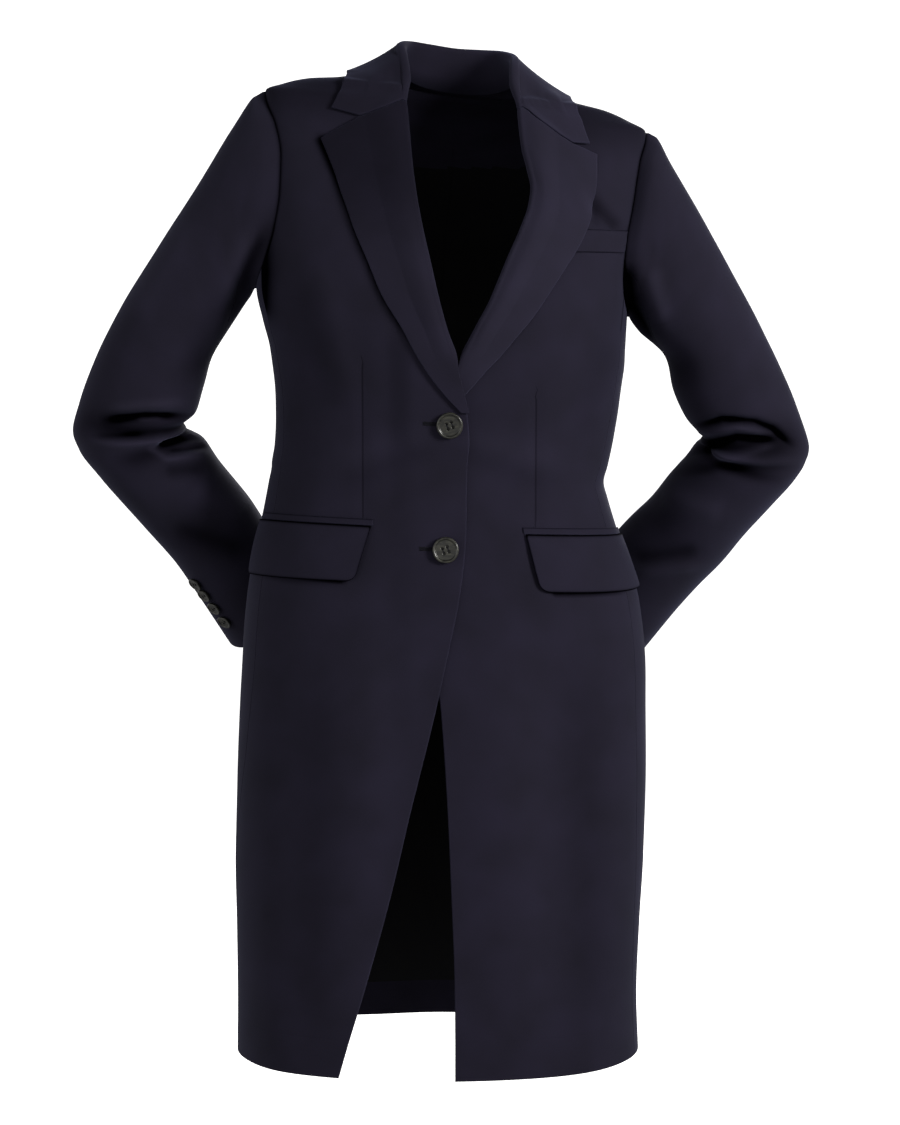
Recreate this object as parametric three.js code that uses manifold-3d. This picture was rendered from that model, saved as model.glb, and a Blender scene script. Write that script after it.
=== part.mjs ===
// Wool overcoat: navy, single-breasted, notch lapels, two front buttons, knee length.
// It is worn: both arms bend back behind the hips, and the skirt opens below the buttons.
// Millimetres. +Z up, -Y the front of the coat, +X the wearer's left. The origin is the neck base.
import * as THREE from "three";
import { mergeVertices } from "three/addons/utils/BufferGeometryUtils.js";
import Module from "manifold-3d";

const wasm = await Module();
wasm.setup();

// Driving sizes
const CLOTH = 2.5; // wall of the coat cloth, with its lining
const SEAM = 0.3; // gap left between two pieces at a seam
const HEM_Z = -957; // level of the hem
const ROLL = CLOTH + 1.3; // middle of the cloth to the middle of the cloth at a turned roll
const NECK_SEAM_Z = -4; // level of the side neck point
const AIR = 0.5; // further air under a button, and along the gorge
// across, thick: the disc; rim: width of the raised rim; dish: how far the face lies below it;
// hole: width of a sewing hole; spread: from hole to hole.
const BUTTON = { across: 25, thick: 5, rim: 2.4, dish: 1.4, hole: 2.2, spread: 5.2, around: 24 };
const CUFF_BUTTON = { across: 15, thick: 3.4, rim: 1.6, dish: 0.9, hole: 1.5, spread: 3.4, around: 12 };

// Looks of the two materials: milled navy coating wool, and dark polished resin made to look like horn.
const WOOL = { color: 0x1f1e29, roughness: 0.9, metalness: 0 };
const HORN = { color: 0x25261f, roughness: 0.35, metalness: 0 };

// Small mathematics
const rad = (degrees) => (degrees * Math.PI) / 180;
const mix = (a, b, t) => a + (b - a) * t;
const clamp01 = (t) => Math.min(1, Math.max(0, t));
const smooth = (from, to, v) => {
  const t = clamp01((v - from) / (to - from));
  return t * t * (3 - 2 * t);
};
const add = (p, q, k = 1) => [p[0] + q[0] * k, p[1] + q[1] * k, p[2] + q[2] * k];
const sub = (p, q) => [p[0] - q[0], p[1] - q[1], p[2] - q[2]];
const between = (p, q, t) => p.map((v, i) => mix(v, q[i], t));
const cross = (p, q) => [
  p[1] * q[2] - p[2] * q[1],
  p[2] * q[0] - p[0] * q[2],
  p[0] * q[1] - p[1] * q[0],
];
const dot = (p, q) => p[0] * q[0] + p[1] * q[1] + p[2] * q[2];
const unit = (p) => {
  const l = Math.hypot(...p) || 1;
  return p.map((v) => v / l);
};
const steps = (n) => Array.from({ length: n + 1 }, (_, i) => i / n);

// Reads column `name` of a table whose rows run along column `key`, with a cubic that never overshoots:
// the slope at each row is the weighted harmonic mean of the slopes on both sides of it.
function column(rows, key, name) {
  const list = rows.filter((r) => r[name] !== undefined);
  const x = list.map((r) => r[key]),
    y = list.map((r) => r[name]),
    n = x.length;
  const slope = x.slice(1).map((v, i) => (y[i + 1] - y[i]) / (v - x[i]));
  const m = y.map((_, i) => {
    if (i === 0) return slope[0];
    if (i === n - 1) return slope[n - 2];
    if (slope[i - 1] * slope[i] <= 0) return 0;
    const h0 = x[i] - x[i - 1],
      h1 = x[i + 1] - x[i],
      w0 = 2 * h1 + h0,
      w1 = h1 + 2 * h0;
    return (w0 + w1) / (w0 / slope[i - 1] + w1 / slope[i]);
  });
  const rising = x[n - 1] > x[0];
  return (v) => {
    let i = 0;
    while (i < n - 2 && (rising ? v > x[i + 1] : v < x[i + 1])) i++;
    const h = x[i + 1] - x[i],
      t = clamp01((v - x[i]) / h),
      t2 = t * t,
      t3 = t2 * t;
    return (
      y[i] * (2 * t3 - 3 * t2 + 1) +
      m[i] * h * (t3 - 2 * t2 + t) +
      y[i + 1] * (3 * t2 - 2 * t3) +
      m[i + 1] * h * (t3 - t2)
    );
  };
}

// The form: the inner face of the coat's body, level by level
// middle: where the section's centre lies in X; half: half width; front, back: depths;
// full: how far the corners between front and side fill out, as a share.
const SECTIONS = [
  { z: 60, middle: 0, half: 50, front: 34, back: 50, full: 0 },
  { z: 20, middle: 0, half: 53, front: 28, back: 52, full: 0 },
  { z: 0, middle: 0, half: 60, front: 21, back: 55, full: 0 },
  { z: -4, middle: 0, half: 68, front: 22, back: 56, full: 0 },
  { z: -10, middle: 0, half: 88, front: 25, back: 58, full: 0.01 },
  { z: -16.5, middle: 0, half: 111, front: 29, back: 61, full: 0.02 },
  { z: -21.5, middle: 0, half: 143, front: 34, back: 63, full: 0.03 },
  { z: -29.5, middle: -0.5, half: 167, front: 40, back: 67, full: 0.04 },
  { z: -36, middle: -0.5, half: 181, front: 45, back: 70, full: 0.05 },
  { z: -60, middle: -2, half: 182, front: 58, back: 79, full: 0.05 },
  { z: -100, middle: -5, half: 182, front: 84, back: 91, full: 0.04 },
  { z: -150, middle: -10, half: 180, front: 110, back: 102, full: 0.03 },
  { z: -190, middle: -13, half: 178.5, front: 121, back: 106, full: 0.03 },
  { z: -220, middle: -14, half: 177.5, front: 124, back: 105, full: 0.03 },
  { z: -250, middle: -11.5, half: 173.5, front: 122, back: 100, full: 0.03 },
  { z: -275, middle: -9, half: 169.5, front: 119, back: 95, full: 0.03 },
  { z: -305, middle: -9, half: 165.5, front: 115, back: 90, full: 0.03 },
  { z: -340, middle: -11, half: 162.3, front: 111, back: 87, full: 0.03 },
  { z: -368, middle: -14.5, half: 160.3, front: 110, back: 87.5, full: 0.03 },
  { z: -386, middle: -18, half: 159.6, front: 110, back: 89.5, full: 0.03 },
  { z: -402, middle: -17.5, half: 163, front: 110, back: 92, full: 0.03 },
  { z: -430, middle: -16, half: 170, front: 111, back: 99, full: 0.03 },
  { z: -465, middle: -14.3, half: 179.5, front: 113, back: 108, full: 0.03 },
  { z: -500, middle: -12, half: 188.5, front: 116, back: 115, full: 0.03 },
  { z: -560, middle: -11.8, half: 195, front: 119, back: 120, full: 0.03 },
  { z: -610, middle: -13, half: 197, front: 121, back: 122, full: 0.03 },
  { z: -690, middle: -14.5, half: 199, front: 124, back: 125, full: 0.03 },
  { z: -760, middle: -16.5, half: 199.2, front: 126, back: 128, full: 0.03 },
  { z: -830, middle: -18, half: 197, front: 128, back: 131, full: 0.03 },
  { z: -900, middle: -19, half: 195.6, front: 130, back: 134, full: 0.03 },
  { z: -957, middle: -18.3, half: 197, front: 132, back: 137, full: 0.03 },
];
const section = Object.fromEntries(
  ["middle", "half", "front", "back", "full"].map((c) => [c, column(SECTIONS, "z", c)]),
);

// How much one shoulder sits above the other: the fall in Z for each millimetre of X.
const LEAN = [
  { z: -957, fall: 0 },
  { z: -600, fall: 0.01 },
  { z: -500, fall: 0.042 },
  { z: -400, fall: 0.05 },
  { z: -300, fall: 0.065 },
  { z: -215, fall: 0.08 },
  { z: -120, fall: 0.1 },
  { z: -30, fall: 0.108 },
  { z: 60, fall: 0.108 },
];
const leanAt = column(LEAN, "z", "fall");
const lean = (p) => [p[0], p[1], p[2] - leanAt(p[2]) * p[0]];

// Soft flutes of the hanging skirt: they start at the hip and reach their depth at the hem.
const FLUTES = [
  { at: 134, wide: 15, deep: 6 },
  { at: 160, wide: 12, deep: -5 },
  { at: -162, wide: 14, deep: -5 },
  { at: -140, wide: 13, deep: 6 },
  { at: -105, wide: 14, deep: -3 },
  { at: -48, wide: 13, deep: 3 },
  { at: 44, wide: 14, deep: 3 },
];
const turnGap = (a, b) => Math.abs(((a - b + 540) % 360) - 180);
function flute(angle, z) {
  const grow = smooth(-520, -940, z);
  return FLUTES.reduce(
    (sum, f) => sum + grow * f.deep * Math.exp(-((turnGap(angle, f.at) / f.wide) ** 2)),
    0,
  );
}

// A point of the form: `angle` is 0 at the front, 90 at the wearer's left side, -90 at the right side.
function formPoint(angle, z) {
  const s = Math.sin(rad(angle)),
    c = Math.cos(rad(angle));
  const bulge = 1 + section.full(z) * Math.sin(rad(2 * angle)) ** 2;
  const wave = flute(angle, z);
  return [
    section.middle(z) + (section.half(z) * bulge + wave) * s,
    -((c > 0 ? section.front(z) : section.back(z)) * bulge + wave) * c,
    z,
  ];
}
function formNormal(angle, z) {
  const across = sub(formPoint(angle + 0.5, z), formPoint(angle - 0.5, z));
  const down = sub(formPoint(angle, z - 1), formPoint(angle, z + 1));
  return unit(cross(down, across));
}
// The same point moved out of the form by `out`.
const onForm = (angle, z, out) => add(formPoint(angle, z), formNormal(angle, z), out);

// The angle at which the front of the form reaches x at level z.
function angleOf(x, z) {
  let lo = -90,
    hi = 90;
  for (let i = 0; i < 40; i++) {
    const middle = (lo + hi) / 2;
    if (formPoint(middle, z)[0] < x) lo = middle;
    else hi = middle;
  }
  return (lo + hi) / 2;
}

// Moves a point out of the form until it stands `out` clear of it.
function clearOfForm(p, out) {
  const share = (q) => {
    const c = section.middle(q[2]),
      x = (q[0] - c) / section.half(q[2]),
      y = q[1] / (q[1] < 0 ? section.front(q[2]) : section.back(q[2]));
    const l = Math.hypot(x, y);
    return l / (1 + section.full(q[2]) * (2 * (x / l) * (y / l)) ** 2) - 1;
  };
  let q = p;
  for (let i = 0; i < 6; i++) {
    const g = [0, 1, 2].map((k) => {
      const e = [0, 0, 0];
      e[k] = 0.5;
      return share(add(q, e)) - share(add(q, e, -1));
    });
    const l = Math.hypot(...g),
      distance = share(q) / l;
    if (distance >= out) break;
    q = add(q, unit(g), out - distance);
  }
  return q;
}

// Sheets
// A closed solid between two grids of points, rows by columns.
function solidBetween(inner, outer) {
  const rows = inner.length,
    cols = inner[0].length;
  const position = [...inner.flat(), ...outer.flat()].flat();
  const id = (face, r, c) => (face * rows + r) * cols + c;
  const index = [];
  const quad = (a, b, c, d) => index.push(a, b, c, a, c, d);
  for (let r = 0; r < rows - 1; r++)
    for (let c = 0; c < cols - 1; c++) {
      quad(id(1, r, c), id(1, r + 1, c), id(1, r + 1, c + 1), id(1, r, c + 1));
      quad(id(0, r, c), id(0, r, c + 1), id(0, r + 1, c + 1), id(0, r + 1, c));
    }
  for (let r = 0; r < rows - 1; r++) {
    quad(id(0, r, 0), id(0, r + 1, 0), id(1, r + 1, 0), id(1, r, 0));
    quad(id(0, r + 1, cols - 1), id(0, r, cols - 1), id(1, r, cols - 1), id(1, r + 1, cols - 1));
  }
  for (let c = 0; c < cols - 1; c++) {
    quad(id(0, 0, c + 1), id(0, 0, c), id(1, 0, c), id(1, 0, c + 1));
    quad(id(0, rows - 1, c), id(0, rows - 1, c + 1), id(1, rows - 1, c + 1), id(1, rows - 1, c));
  }
  let volume = 0;
  const at = (i) => position.slice(i * 3, i * 3 + 3);
  for (let i = 0; i < index.length; i += 3)
    volume += dot(at(index[i]), cross(at(index[i + 1]), at(index[i + 2])));
  if (volume < 0)
    for (let i = 0; i < index.length; i += 3)
      [index[i + 1], index[i + 2]] = [index[i + 2], index[i + 1]];
  return new THREE.BufferGeometry()
    .setAttribute("position", new THREE.Float32BufferAttribute(position, 3))
    .setIndex(index);
}

// The direction square to a grid at each of its points.
function gridNormals(grid) {
  return grid.map((row, r) =>
    row.map((_, c) => {
      const down = sub(grid[Math.min(r + 1, grid.length - 1)][c], grid[Math.max(r - 1, 0)][c]);
      const along = sub(row[Math.min(c + 1, row.length - 1)], row[Math.max(c - 1, 0)]);
      return unit(cross(down, along));
    }),
  );
}

// A solid from a grid of the cloth's middle, half the wall to each side of it.
function sheetAbout(grid, wall = CLOTH) {
  const n = gridNormals(grid);
  const side = (k) => grid.map((row, r) => row.map((p, c) => add(p, n[r][c], (k * wall) / 2)));
  return solidBetween(side(-1), side(1));
}

// A solid from a grid of places on the form, each [angle, z, out], with its wall outside `out`.
function sheetOnForm(grid, wall = CLOTH) {
  const face = (extra) => grid.map((row) => row.map(([a, z, out]) => lean(onForm(a, z, out + extra))));
  return solidBetween(face(0), face(wall));
}

const coat = new THREE.Group();
coat.name = "overcoat";
function piece(name, geometry, look = WOOL) {
  const mesh = new THREE.Mesh(geometry, new THREE.MeshStandardMaterial(look));
  mesh.name = name;
  coat.add(mesh);
}

// Armholes and side seams, which neighbouring pieces share
// turn: 0 at the shoulder tip, 90 at the front, 180 under the arm, 270 at the back.
const ARMHOLE = [
  { turn: 0, right: -90, left: 90, z: -36 },
  { turn: 20, right: -79, left: 82, z: -46 },
  { turn: 45, right: -65, left: 73, z: -66 },
  { turn: 70, right: -59, left: 70, z: -98 },
  { turn: 92, right: -58.5, left: 69, z: -128 },
  { turn: 116, right: -61, left: 69, z: -163 },
  { turn: 140, right: -69, left: 72, z: -195 },
  { turn: 158, right: -78, left: 79, z: -211 },
  { turn: 180, right: -90, left: 90, z: -220 },
  { turn: 202, right: -102, left: 102, z: -211 },
  { turn: 222, right: -112, left: 112, z: -195 },
  { turn: 248, right: -120, left: 120, z: -155 },
  { turn: 270, right: -123, left: 123, z: -118 },
  { turn: 295, right: -121, left: 121, z: -86 },
  { turn: 315, right: -115, left: 115, z: -66 },
  { turn: 340, right: -102, left: 102, z: -46 },
  { turn: 360, right: -90, left: 90, z: -36 },
];
const armhole = {
  right: column(ARMHOLE, "turn", "right"),
  left: column(ARMHOLE, "turn", "left"),
  z: column(ARMHOLE, "turn", "z"),
};

// Angles of the seams that run down the body. The right front swings to the side as the skirt opens.
const SEAMS = [
  { z: -190, frontRight: -71, backRight: -110, frontLeft: 73, backLeft: 110, centre: 180 },
  { z: -250, frontRight: -71, backRight: -109, frontLeft: 72, backLeft: 109, centre: 180 },
  { z: -330, frontRight: -68, backRight: -110, frontLeft: 69, backLeft: 110, centre: 180 },
  { z: -414, frontRight: -66, backRight: -115, frontLeft: 67, backLeft: 115, centre: 180 },
  { z: -550, frontRight: -65, backRight: -118, frontLeft: 67, backLeft: 116, centre: 179 },
  { z: -650, frontRight: -69, backRight: -119, frontLeft: 68, backLeft: 116, centre: 178 },
  { z: -716, frontRight: -76, backRight: -121, frontLeft: 69, backLeft: 115, centre: 177 },
  { z: -790, frontRight: -83, backRight: -125, frontLeft: 71, backLeft: 114, centre: 176 },
  { z: -865, frontRight: -89, backRight: -129, frontLeft: 73, backLeft: 113, centre: 175 },
  { z: -957, frontRight: -93, backRight: -133, frontLeft: 75, backLeft: 112, centre: 174 },
];
const seamAt = (name) => column(SEAMS, "z", name);

// Levels on the side seams, which the fronts, the side panels and the backs share
const LEVELS = [
  -236, -254, -270, -285, -302, -322, -346, -372, -400, -430,
  -462, -498, -552, -593, -630, -698, -780, -865, -928, HEM_Z,
];
// Places on the armhole that the pieces round it share.
const FRONT_TURNS = [0, 22, 40, 54, 70, 84, 97, 110, 123, 135, 146];
const UNDER_TURNS = [146, 157, 168.5, 180, 191.5, 203, 214];
const BACK_TURNS = [214, 240, 260, 280, 302, 322, 342, 360];
const FRONT_CORNER = FRONT_TURNS.at(-1); // where the front's side seam meets the armhole
const BACK_CORNER = BACK_TURNS[0]; // where the back's side seam meets it

// Fronts
// Rows run from the shoulder seam to the hem: one row for each of FRONT_TURNS, then one for each of LEVELS.
// x, z: the neckline, the roll line and then the front edge, as seen from the front;
// outX, outZ: the lapel's outer edge on that row, where there is a lapel.
const RIGHT_FRONT_ROWS = [
  { x: -68, z: -4 },
  { x: -64, z: -13 },
  { x: -56, z: -25 },
  { x: -46.9, z: -35.5, outX: -127.3, outZ: -78.7 },
  { x: -44.4, z: -57, outX: -121, outZ: -92 },
  { x: -42.3, z: -79, outX: -113.6, outZ: -109 },
  { x: -39.8, z: -101, outX: -107.5, outZ: -126 },
  { x: -36.5, z: -123, outX: -101, outZ: -142 },
  { x: -32.1, z: -146, outX: -95, outZ: -158 },
  { x: -28, z: -164, outX: -88.8, outZ: -172 },
  { x: -23.7, z: -182, outX: -82, outZ: -186 },
  { x: -16.2, z: -214, outX: -69.2, outZ: -215 },
  { x: -8.3, z: -243, outX: -50.6, outZ: -243.5 },
  { x: -3.6, z: -263, outX: -38.6, outZ: -263.5 },
  { x: 0.5, z: -280.5, outX: -27.6, outZ: -281 },
  { x: 5.4, z: -301, outX: -11.5, outZ: -302 },
  { x: 9.4, z: -318, outX: 4, outZ: -318 },
  { x: 11.5, z: -346 },
  { x: 10, z: -372 },
  { x: 9.3, z: -400 },
  { x: 9.1, z: -430 },
  { x: 7, z: -462 },
  { x: 2.3, z: -498 },
  { x: -8.6, z: -552 },
  { x: -17.3, z: -593 },
  { x: -26, z: -630 },
  { x: -42.9, z: -698 },
  { x: -62, z: -780 },
  { x: -85.1, z: -865 },
  { x: -104, z: -928 },
  { x: -112.2, z: HEM_Z },
];
const LEFT_FRONT_ROWS = [
  { x: 68, z: -4 },
  { x: 67, z: -11 },
  { x: 64, z: -20 },
  { x: 58, z: -30, outX: 132.1, outZ: -66.4 },
  { x: 59.2, z: -48, outX: 131, outZ: -88 },
  { x: 61.2, z: -65, outX: 128.6, outZ: -108 },
  { x: 66, z: -85, outX: 124.6, outZ: -126 },
  { x: 69.4, z: -103, outX: 119.5, outZ: -140 },
  { x: 66.8, z: -121, outX: 115, outZ: -150 },
  { x: 59.5, z: -142, outX: 109.3, outZ: -161 },
  { x: 46.2, z: -173.5, outX: 95.5, outZ: -184 },
  { x: 29.4, z: -215, outX: 72.5, outZ: -222 },
  { x: 16.3, z: -241, outX: 56, outZ: -244 },
  { x: 9, z: -261, outX: 42, outZ: -262 },
  { x: 2.5, z: -278, outX: 27, outZ: -279 },
  { x: -8.5, z: -299, outX: 9, outZ: -301 },
  { x: -20, z: -321, outX: -13, outZ: -323 },
  { x: -25.5, z: -346 },
  { x: -27.5, z: -372 },
  { x: -28.2, z: -400 },
  { x: -28.6, z: -430 },
  { x: -28.4, z: -462 },
  { x: -26.5, z: -498 },
  { x: -22.5, z: -552 },
  { x: -15.6, z: -593 },
  { x: -12.4, z: -630 },
  { x: -8.2, z: -698 },
  { x: -4.6, z: -780 },
  { x: -1.6, z: -865 },
  { x: -1.2, z: -928 },
  { x: -1.2, z: HEM_Z },
];
const FRONT_COLUMNS = 9;

// How far the right front stands off the form where it laps over the left front and its lapel.
function lapLift(x, z) {
  const over = smooth(-66, -38, x);
  const closed = smooth(-232, -272, z) * (1 - smooth(-606, -680, z));
  const lapel = smooth(-232, -272, z) * (1 - smooth(-338, -378, z));
  return over * (closed * (CLOTH + 0.6) + lapel * (CLOTH + 1.6));
}
const frontLift = { right: lapLift, left: () => 0 };

// The turned roll wraps the front's edge, so above the break that edge sits back from the seen roll line.
const wrapShare = (z) => 1 - smooth(-236, -282, z);
function setBack(side, x, z) {
  const away = side === "right" ? -1 : 1;
  return x + away * (ROLL + CLOTH / 2) * wrapShare(z) * smooth(-4, -30, z);
}

// The other end of a row: its place on the armhole, or on the side seam below it.
const rowEnd = (side, seam, row) =>
  row < FRONT_TURNS.length
    ? [armhole[side](FRONT_TURNS[row]), armhole.z(FRONT_TURNS[row])]
    : [seam(LEVELS[row - FRONT_TURNS.length]), LEVELS[row - FRONT_TURNS.length]];
const gapAngle = (width, z) => (width / section.half(z)) * (180 / Math.PI);

function front(side, rows) {
  const sign = side === "right" ? -1 : 1;
  const seam = seamAt(side === "right" ? "frontRight" : "frontLeft");
  const grid = rows.map(({ x, z }, r) => {
    const shoulder = r === 0;
    const inner = [shoulder ? sign * 90 : angleOf(setBack(side, x, z), z), z];
    const outer = rowEnd(side, seam, r);
    return steps(FRONT_COLUMNS).map((u) => {
      const level = mix(inner[1], outer[1], u);
      const atSeam = u === 1 && r >= FRONT_TURNS.length - 1 ? gapAngle(SEAM / 2, level) : 0;
      const atShoulder = shoulder ? (SEAM / 2 / section.front(level)) * (180 / Math.PI) : 0;
      const angle = mix(inner[0], outer[0], u) - sign * (atSeam + atShoulder);
      return [angle, level, frontLift[side](formPoint(angle, level)[0], level)];
    });
  });
  return sheetOnForm(grid);
}
piece("front_right", front("right", RIGHT_FRONT_ROWS));
piece("front_left", front("left", LEFT_FRONT_ROWS));

// Side panels: a column of cloth under each arm, from the armhole's lowest part to the hem
function sidePanel(side) {
  const sign = side === "right" ? -1 : 1;
  const from = seamAt(side === "right" ? "frontRight" : "frontLeft");
  const to = seamAt(side === "right" ? "backRight" : "backLeft");
  const last = UNDER_TURNS.length - 1;
  const edge = (c, z) => (c === 0 ? sign : c === last ? -sign : 0) * gapAngle(SEAM / 2, z);
  const across = (z, c) => mix(from(z), to(z), c / last) + edge(c, z);
  const top = UNDER_TURNS.map((turn, c) => {
    const z = armhole.z(turn);
    return [armhole[side](turn) + edge(c, z), z, 0];
  });
  const rest = LEVELS.map((z) => UNDER_TURNS.map((_, c) => [across(z, c), z, 0]));
  return sheetOnForm([top, ...rest]);
}
piece("side_right", sidePanel("right"));
piece("side_left", sidePanel("left"));

// Back panels: neckline and shoulder seam along the top, joined at the centre back
// Levels at the centre back of the rows that end on the armhole; the rows below them are level.
const BACK_CENTRES = [-19, -32, -48, -68, -92, -120, -150, -184];
const NECK_SHARE = 3 / 9; // share of the top row that is neckline
const NECK_CURVE = 1.6; // how late the neckline climbs to the side neck point
const BACK_COLUMNS = 9;
function backPanel(side) {
  const sign = side === "right" ? -1 : 1;
  const centre = seamAt("centre"),
    seam = seamAt(side === "right" ? "backRight" : "backLeft");
  const middle = (z) => (sign < 0 ? centre(z) - 360 : centre(z)); // -180 and 180 are the same place
  const rows = [
    ...BACK_CENTRES.map((z, r) => ({ centre: z, turn: BACK_TURNS.at(-1 - r) })),
    ...LEVELS.map((z) => ({ centre: z })),
  ];
  const plain = (row, u) => {
    const inner = [middle(row.centre), row.centre];
    const outer = row.turn
      ? [armhole[side](row.turn), armhole.z(row.turn)]
      : [seam(row.centre), row.centre];
    return [mix(inner[0], outer[0], u), mix(inner[1], outer[1], u)];
  };
  // The top row follows the neckline to the side neck point, then the shoulder seam.
  const top = (u) => {
    if (u < NECK_SHARE) {
      const t = u / NECK_SHARE;
      return [mix(sign * 180, sign * 90, t), mix(BACK_CENTRES[0], NECK_SEAM_Z, t ** NECK_CURVE)];
    }
    const t = (u - NECK_SHARE) / (1 - NECK_SHARE);
    return [sign * 90, mix(NECK_SEAM_Z, armhole.z(0), t)];
  };
  const fade = [1, 0.7, 0.42, 0.2, 0.06]; // how far each row still follows the top row
  const grid = rows.map((row, r) =>
    steps(BACK_COLUMNS).map((u) => {
      const [a, z] = plain(row, u),
        [a0, z0] = plain(rows[0], u),
        [ta, tz] = top(u),
        k = fade[r] || 0;
      let angle = a + (ta - a0) * k;
      const level = z + (tz - z0) * k;
      if (u === 0) angle -= sign * (SEAM / 2 / section.back(level)) * (180 / Math.PI);
      if (u === 1 && r >= BACK_TURNS.length - 1) angle += sign * gapAngle(SEAM / 2, level);
      if (r === 0 && u >= NECK_SHARE) angle += sign * (SEAM / 2 / section.back(level)) * (180 / Math.PI);
      return [angle, level, 0];
    }),
  );
  return sheetOnForm(grid);
}
piece("back_right", backPanel("right"));
piece("back_left", backPanel("left"));

// Sleeves
// Each row is one section of the arm, as seen from the front: outX, outZ its outer edge, inX, inZ its
// inner edge, y its depth, deep its half depth. Row 0 is the armhole itself.
const RIGHT_ARM = [
  { row: 1, outX: -194.6, outZ: -20.2, inX: -197, inZ: -206.5, y: 6, deep: 62 },
  { row: 2, outX: -217.2, outZ: -51.7, inX: -198.2, inZ: -209, y: 8, deep: 60 },
  { row: 3, outX: -248.8, outZ: -102.6, inX: -200.3, inZ: -213, y: 10, deep: 57 },
  { row: 4, outX: -287.5, outZ: -161.5, inX: -206, inZ: -221, y: 13, deep: 54 },
  { row: 5, outX: -327.8, outZ: -223.8, inX: -234.3, inZ: -267.7, y: 20, deep: 53 },
  { row: 6, outX: -353.8, outZ: -272.9, inX: -247.9, inZ: -301.4, y: 28, deep: 53 },
  { row: 7, outX: -370.9, outZ: -315.5, inX: -256.6, inZ: -327.3, y: 35, deep: 53 },
  { row: 8, outX: -378.7, outZ: -344.4, inX: -267, inZ: -340.4, y: 40, deep: 53 },
  { row: 9, outX: -373.4, outZ: -362.4, inX: -264.3, inZ: -346.6, y: 43, deep: 52 },
  { row: 10, outX: -353.7, outZ: -390.7, inX: -249.1, inZ: -356.9, y: 50, deep: 51 },
  { row: 11, outX: -313.1, outZ: -442, inX: -236.1, inZ: -377.5, y: 66, deep: 50 },
  { row: 12, outX: -283.2, outZ: -480.3, inX: -205.2, inZ: -419.6, y: 86, deep: 48 },
  { row: 13, outX: -266.5, outZ: -508.2, inX: -192.1, inZ: -443, y: 100, deep: 47 },
  { row: 14, outX: -248.6, outZ: -539.4, inX: -174.9, inZ: -474.1, y: 116, deep: 46 },
  { row: 15, outX: -232.3, outZ: -568.6, inX: -159.6, inZ: -505.6, y: 133, deep: 45 },
];
const LEFT_ARM = [
  { row: 1, outX: 192.5, outZ: -58.5, inX: 168.8, inZ: -233.8, y: 6, deep: 62 },
  { row: 2, outX: 208.3, outZ: -85.3, inX: 170, inZ: -236, y: 8, deep: 60 },
  { row: 3, outX: 237, outZ: -133.5, inX: 172.6, inZ: -240, y: 10, deep: 57 },
  { row: 4, outX: 266, outZ: -185.8, inX: 179.5, inZ: -248.5, y: 13, deep: 54 },
  { row: 5, outX: 291.5, outZ: -230.6, inX: 201.2, inZ: -269.2, y: 20, deep: 53 },
  { row: 6, outX: 317.3, outZ: -279.8, inX: 212.3, inZ: -303.3, y: 28, deep: 53 },
  { row: 7, outX: 335.2, outZ: -319.4, inX: 225.8, inZ: -331.3, y: 35, deep: 53 },
  { row: 8, outX: 349.4, outZ: -361.4, inX: 241.4, inZ: -352.4, y: 42, deep: 53 },
  { row: 9, outX: 346.4, outZ: -374.5, inX: 240.7, inZ: -358.6, y: 45, deep: 52 },
  { row: 10, outX: 337.7, outZ: -390.7, inX: 235.2, inZ: -364.9, y: 50, deep: 51 },
  { row: 11, outX: 314.3, outZ: -420.5, inX: 225.1, inZ: -377.5, y: 60, deep: 50 },
  { row: 12, outX: 290.7, outZ: -449.6, inX: 212.1, inZ: -393.3, y: 72, deep: 49 },
  { row: 13, outX: 269.4, outZ: -479.4, inX: 196.3, inZ: -415.7, y: 88, deep: 48 },
  { row: 14, outX: 247.5, outZ: -504.3, inX: 175.1, inZ: -438.1, y: 102, deep: 47 },
  { row: 15, outX: 227.4, outZ: -529.4, inX: 153.7, inZ: -463.9, y: 116, deep: 46 },
  { row: 16, outX: 194.5, outZ: -574.4, inX: 120.2, inZ: -509.2, y: 138, deep: 45 },
];
// Folds of the bent elbow. row: where the fold's middle lies; slope: rows it climbs over 90 degrees of
// turn; turn: its middle round the sleeve; reach: half its length in degrees; wide: in rows;
// deep: millimetres inwards.
const ELBOW_FOLDS = {
  right: [
    { row: 7.55, slope: 0.25, turn: 115, reach: 78, wide: 0.42, deep: 5 },
    { row: 8.15, slope: 0.2, turn: 118, reach: 60, wide: 0.3, deep: -2.5 },
    { row: 9.05, slope: -0.5, turn: 125, reach: 55, wide: 0.5, deep: 4 },
    { row: 5.2, slope: 0, turn: 165, reach: 40, wide: 0.5, deep: 2.5 },
  ],
  left: [
    { row: 7.75, slope: 0.25, turn: 112, reach: 78, wide: 0.42, deep: 5 },
    { row: 8.35, slope: 0.2, turn: 112, reach: 60, wide: 0.3, deep: -2.5 },
    { row: 9.2, slope: -0.4, turn: 118, reach: 60, wide: 0.5, deep: 4 },
    { row: 5.4, slope: 0, turn: 165, reach: 40, wide: 0.5, deep: 2.5 },
  ],
};
// The two seams of a sleeve, row by row: turn of the front seam and of the back seam.
// The left forearm is turned further in, so its seams and cuff buttons face more to the back.
const SLEEVE_SEAMS = [
  { row: 0, frontRight: 123, backRight: -80, frontLeft: 123, backLeft: -80 },
  { row: 3, frontRight: 138, backRight: -74, frontLeft: 138, backLeft: -76 },
  { row: 5, frontRight: 172, backRight: -62, frontLeft: 170, backLeft: -70 },
  { row: 7, frontRight: 212, backRight: -40, frontLeft: 203, backLeft: -64 },
  { row: 9, frontRight: 216, backRight: -20, frontLeft: 203, backLeft: -60 },
  { row: 11, frontRight: 214, backRight: -6, frontLeft: 196, backLeft: -60 },
  { row: 16, frontRight: 211, backRight: 4, frontLeft: 188, backLeft: -62 },
];

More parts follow.
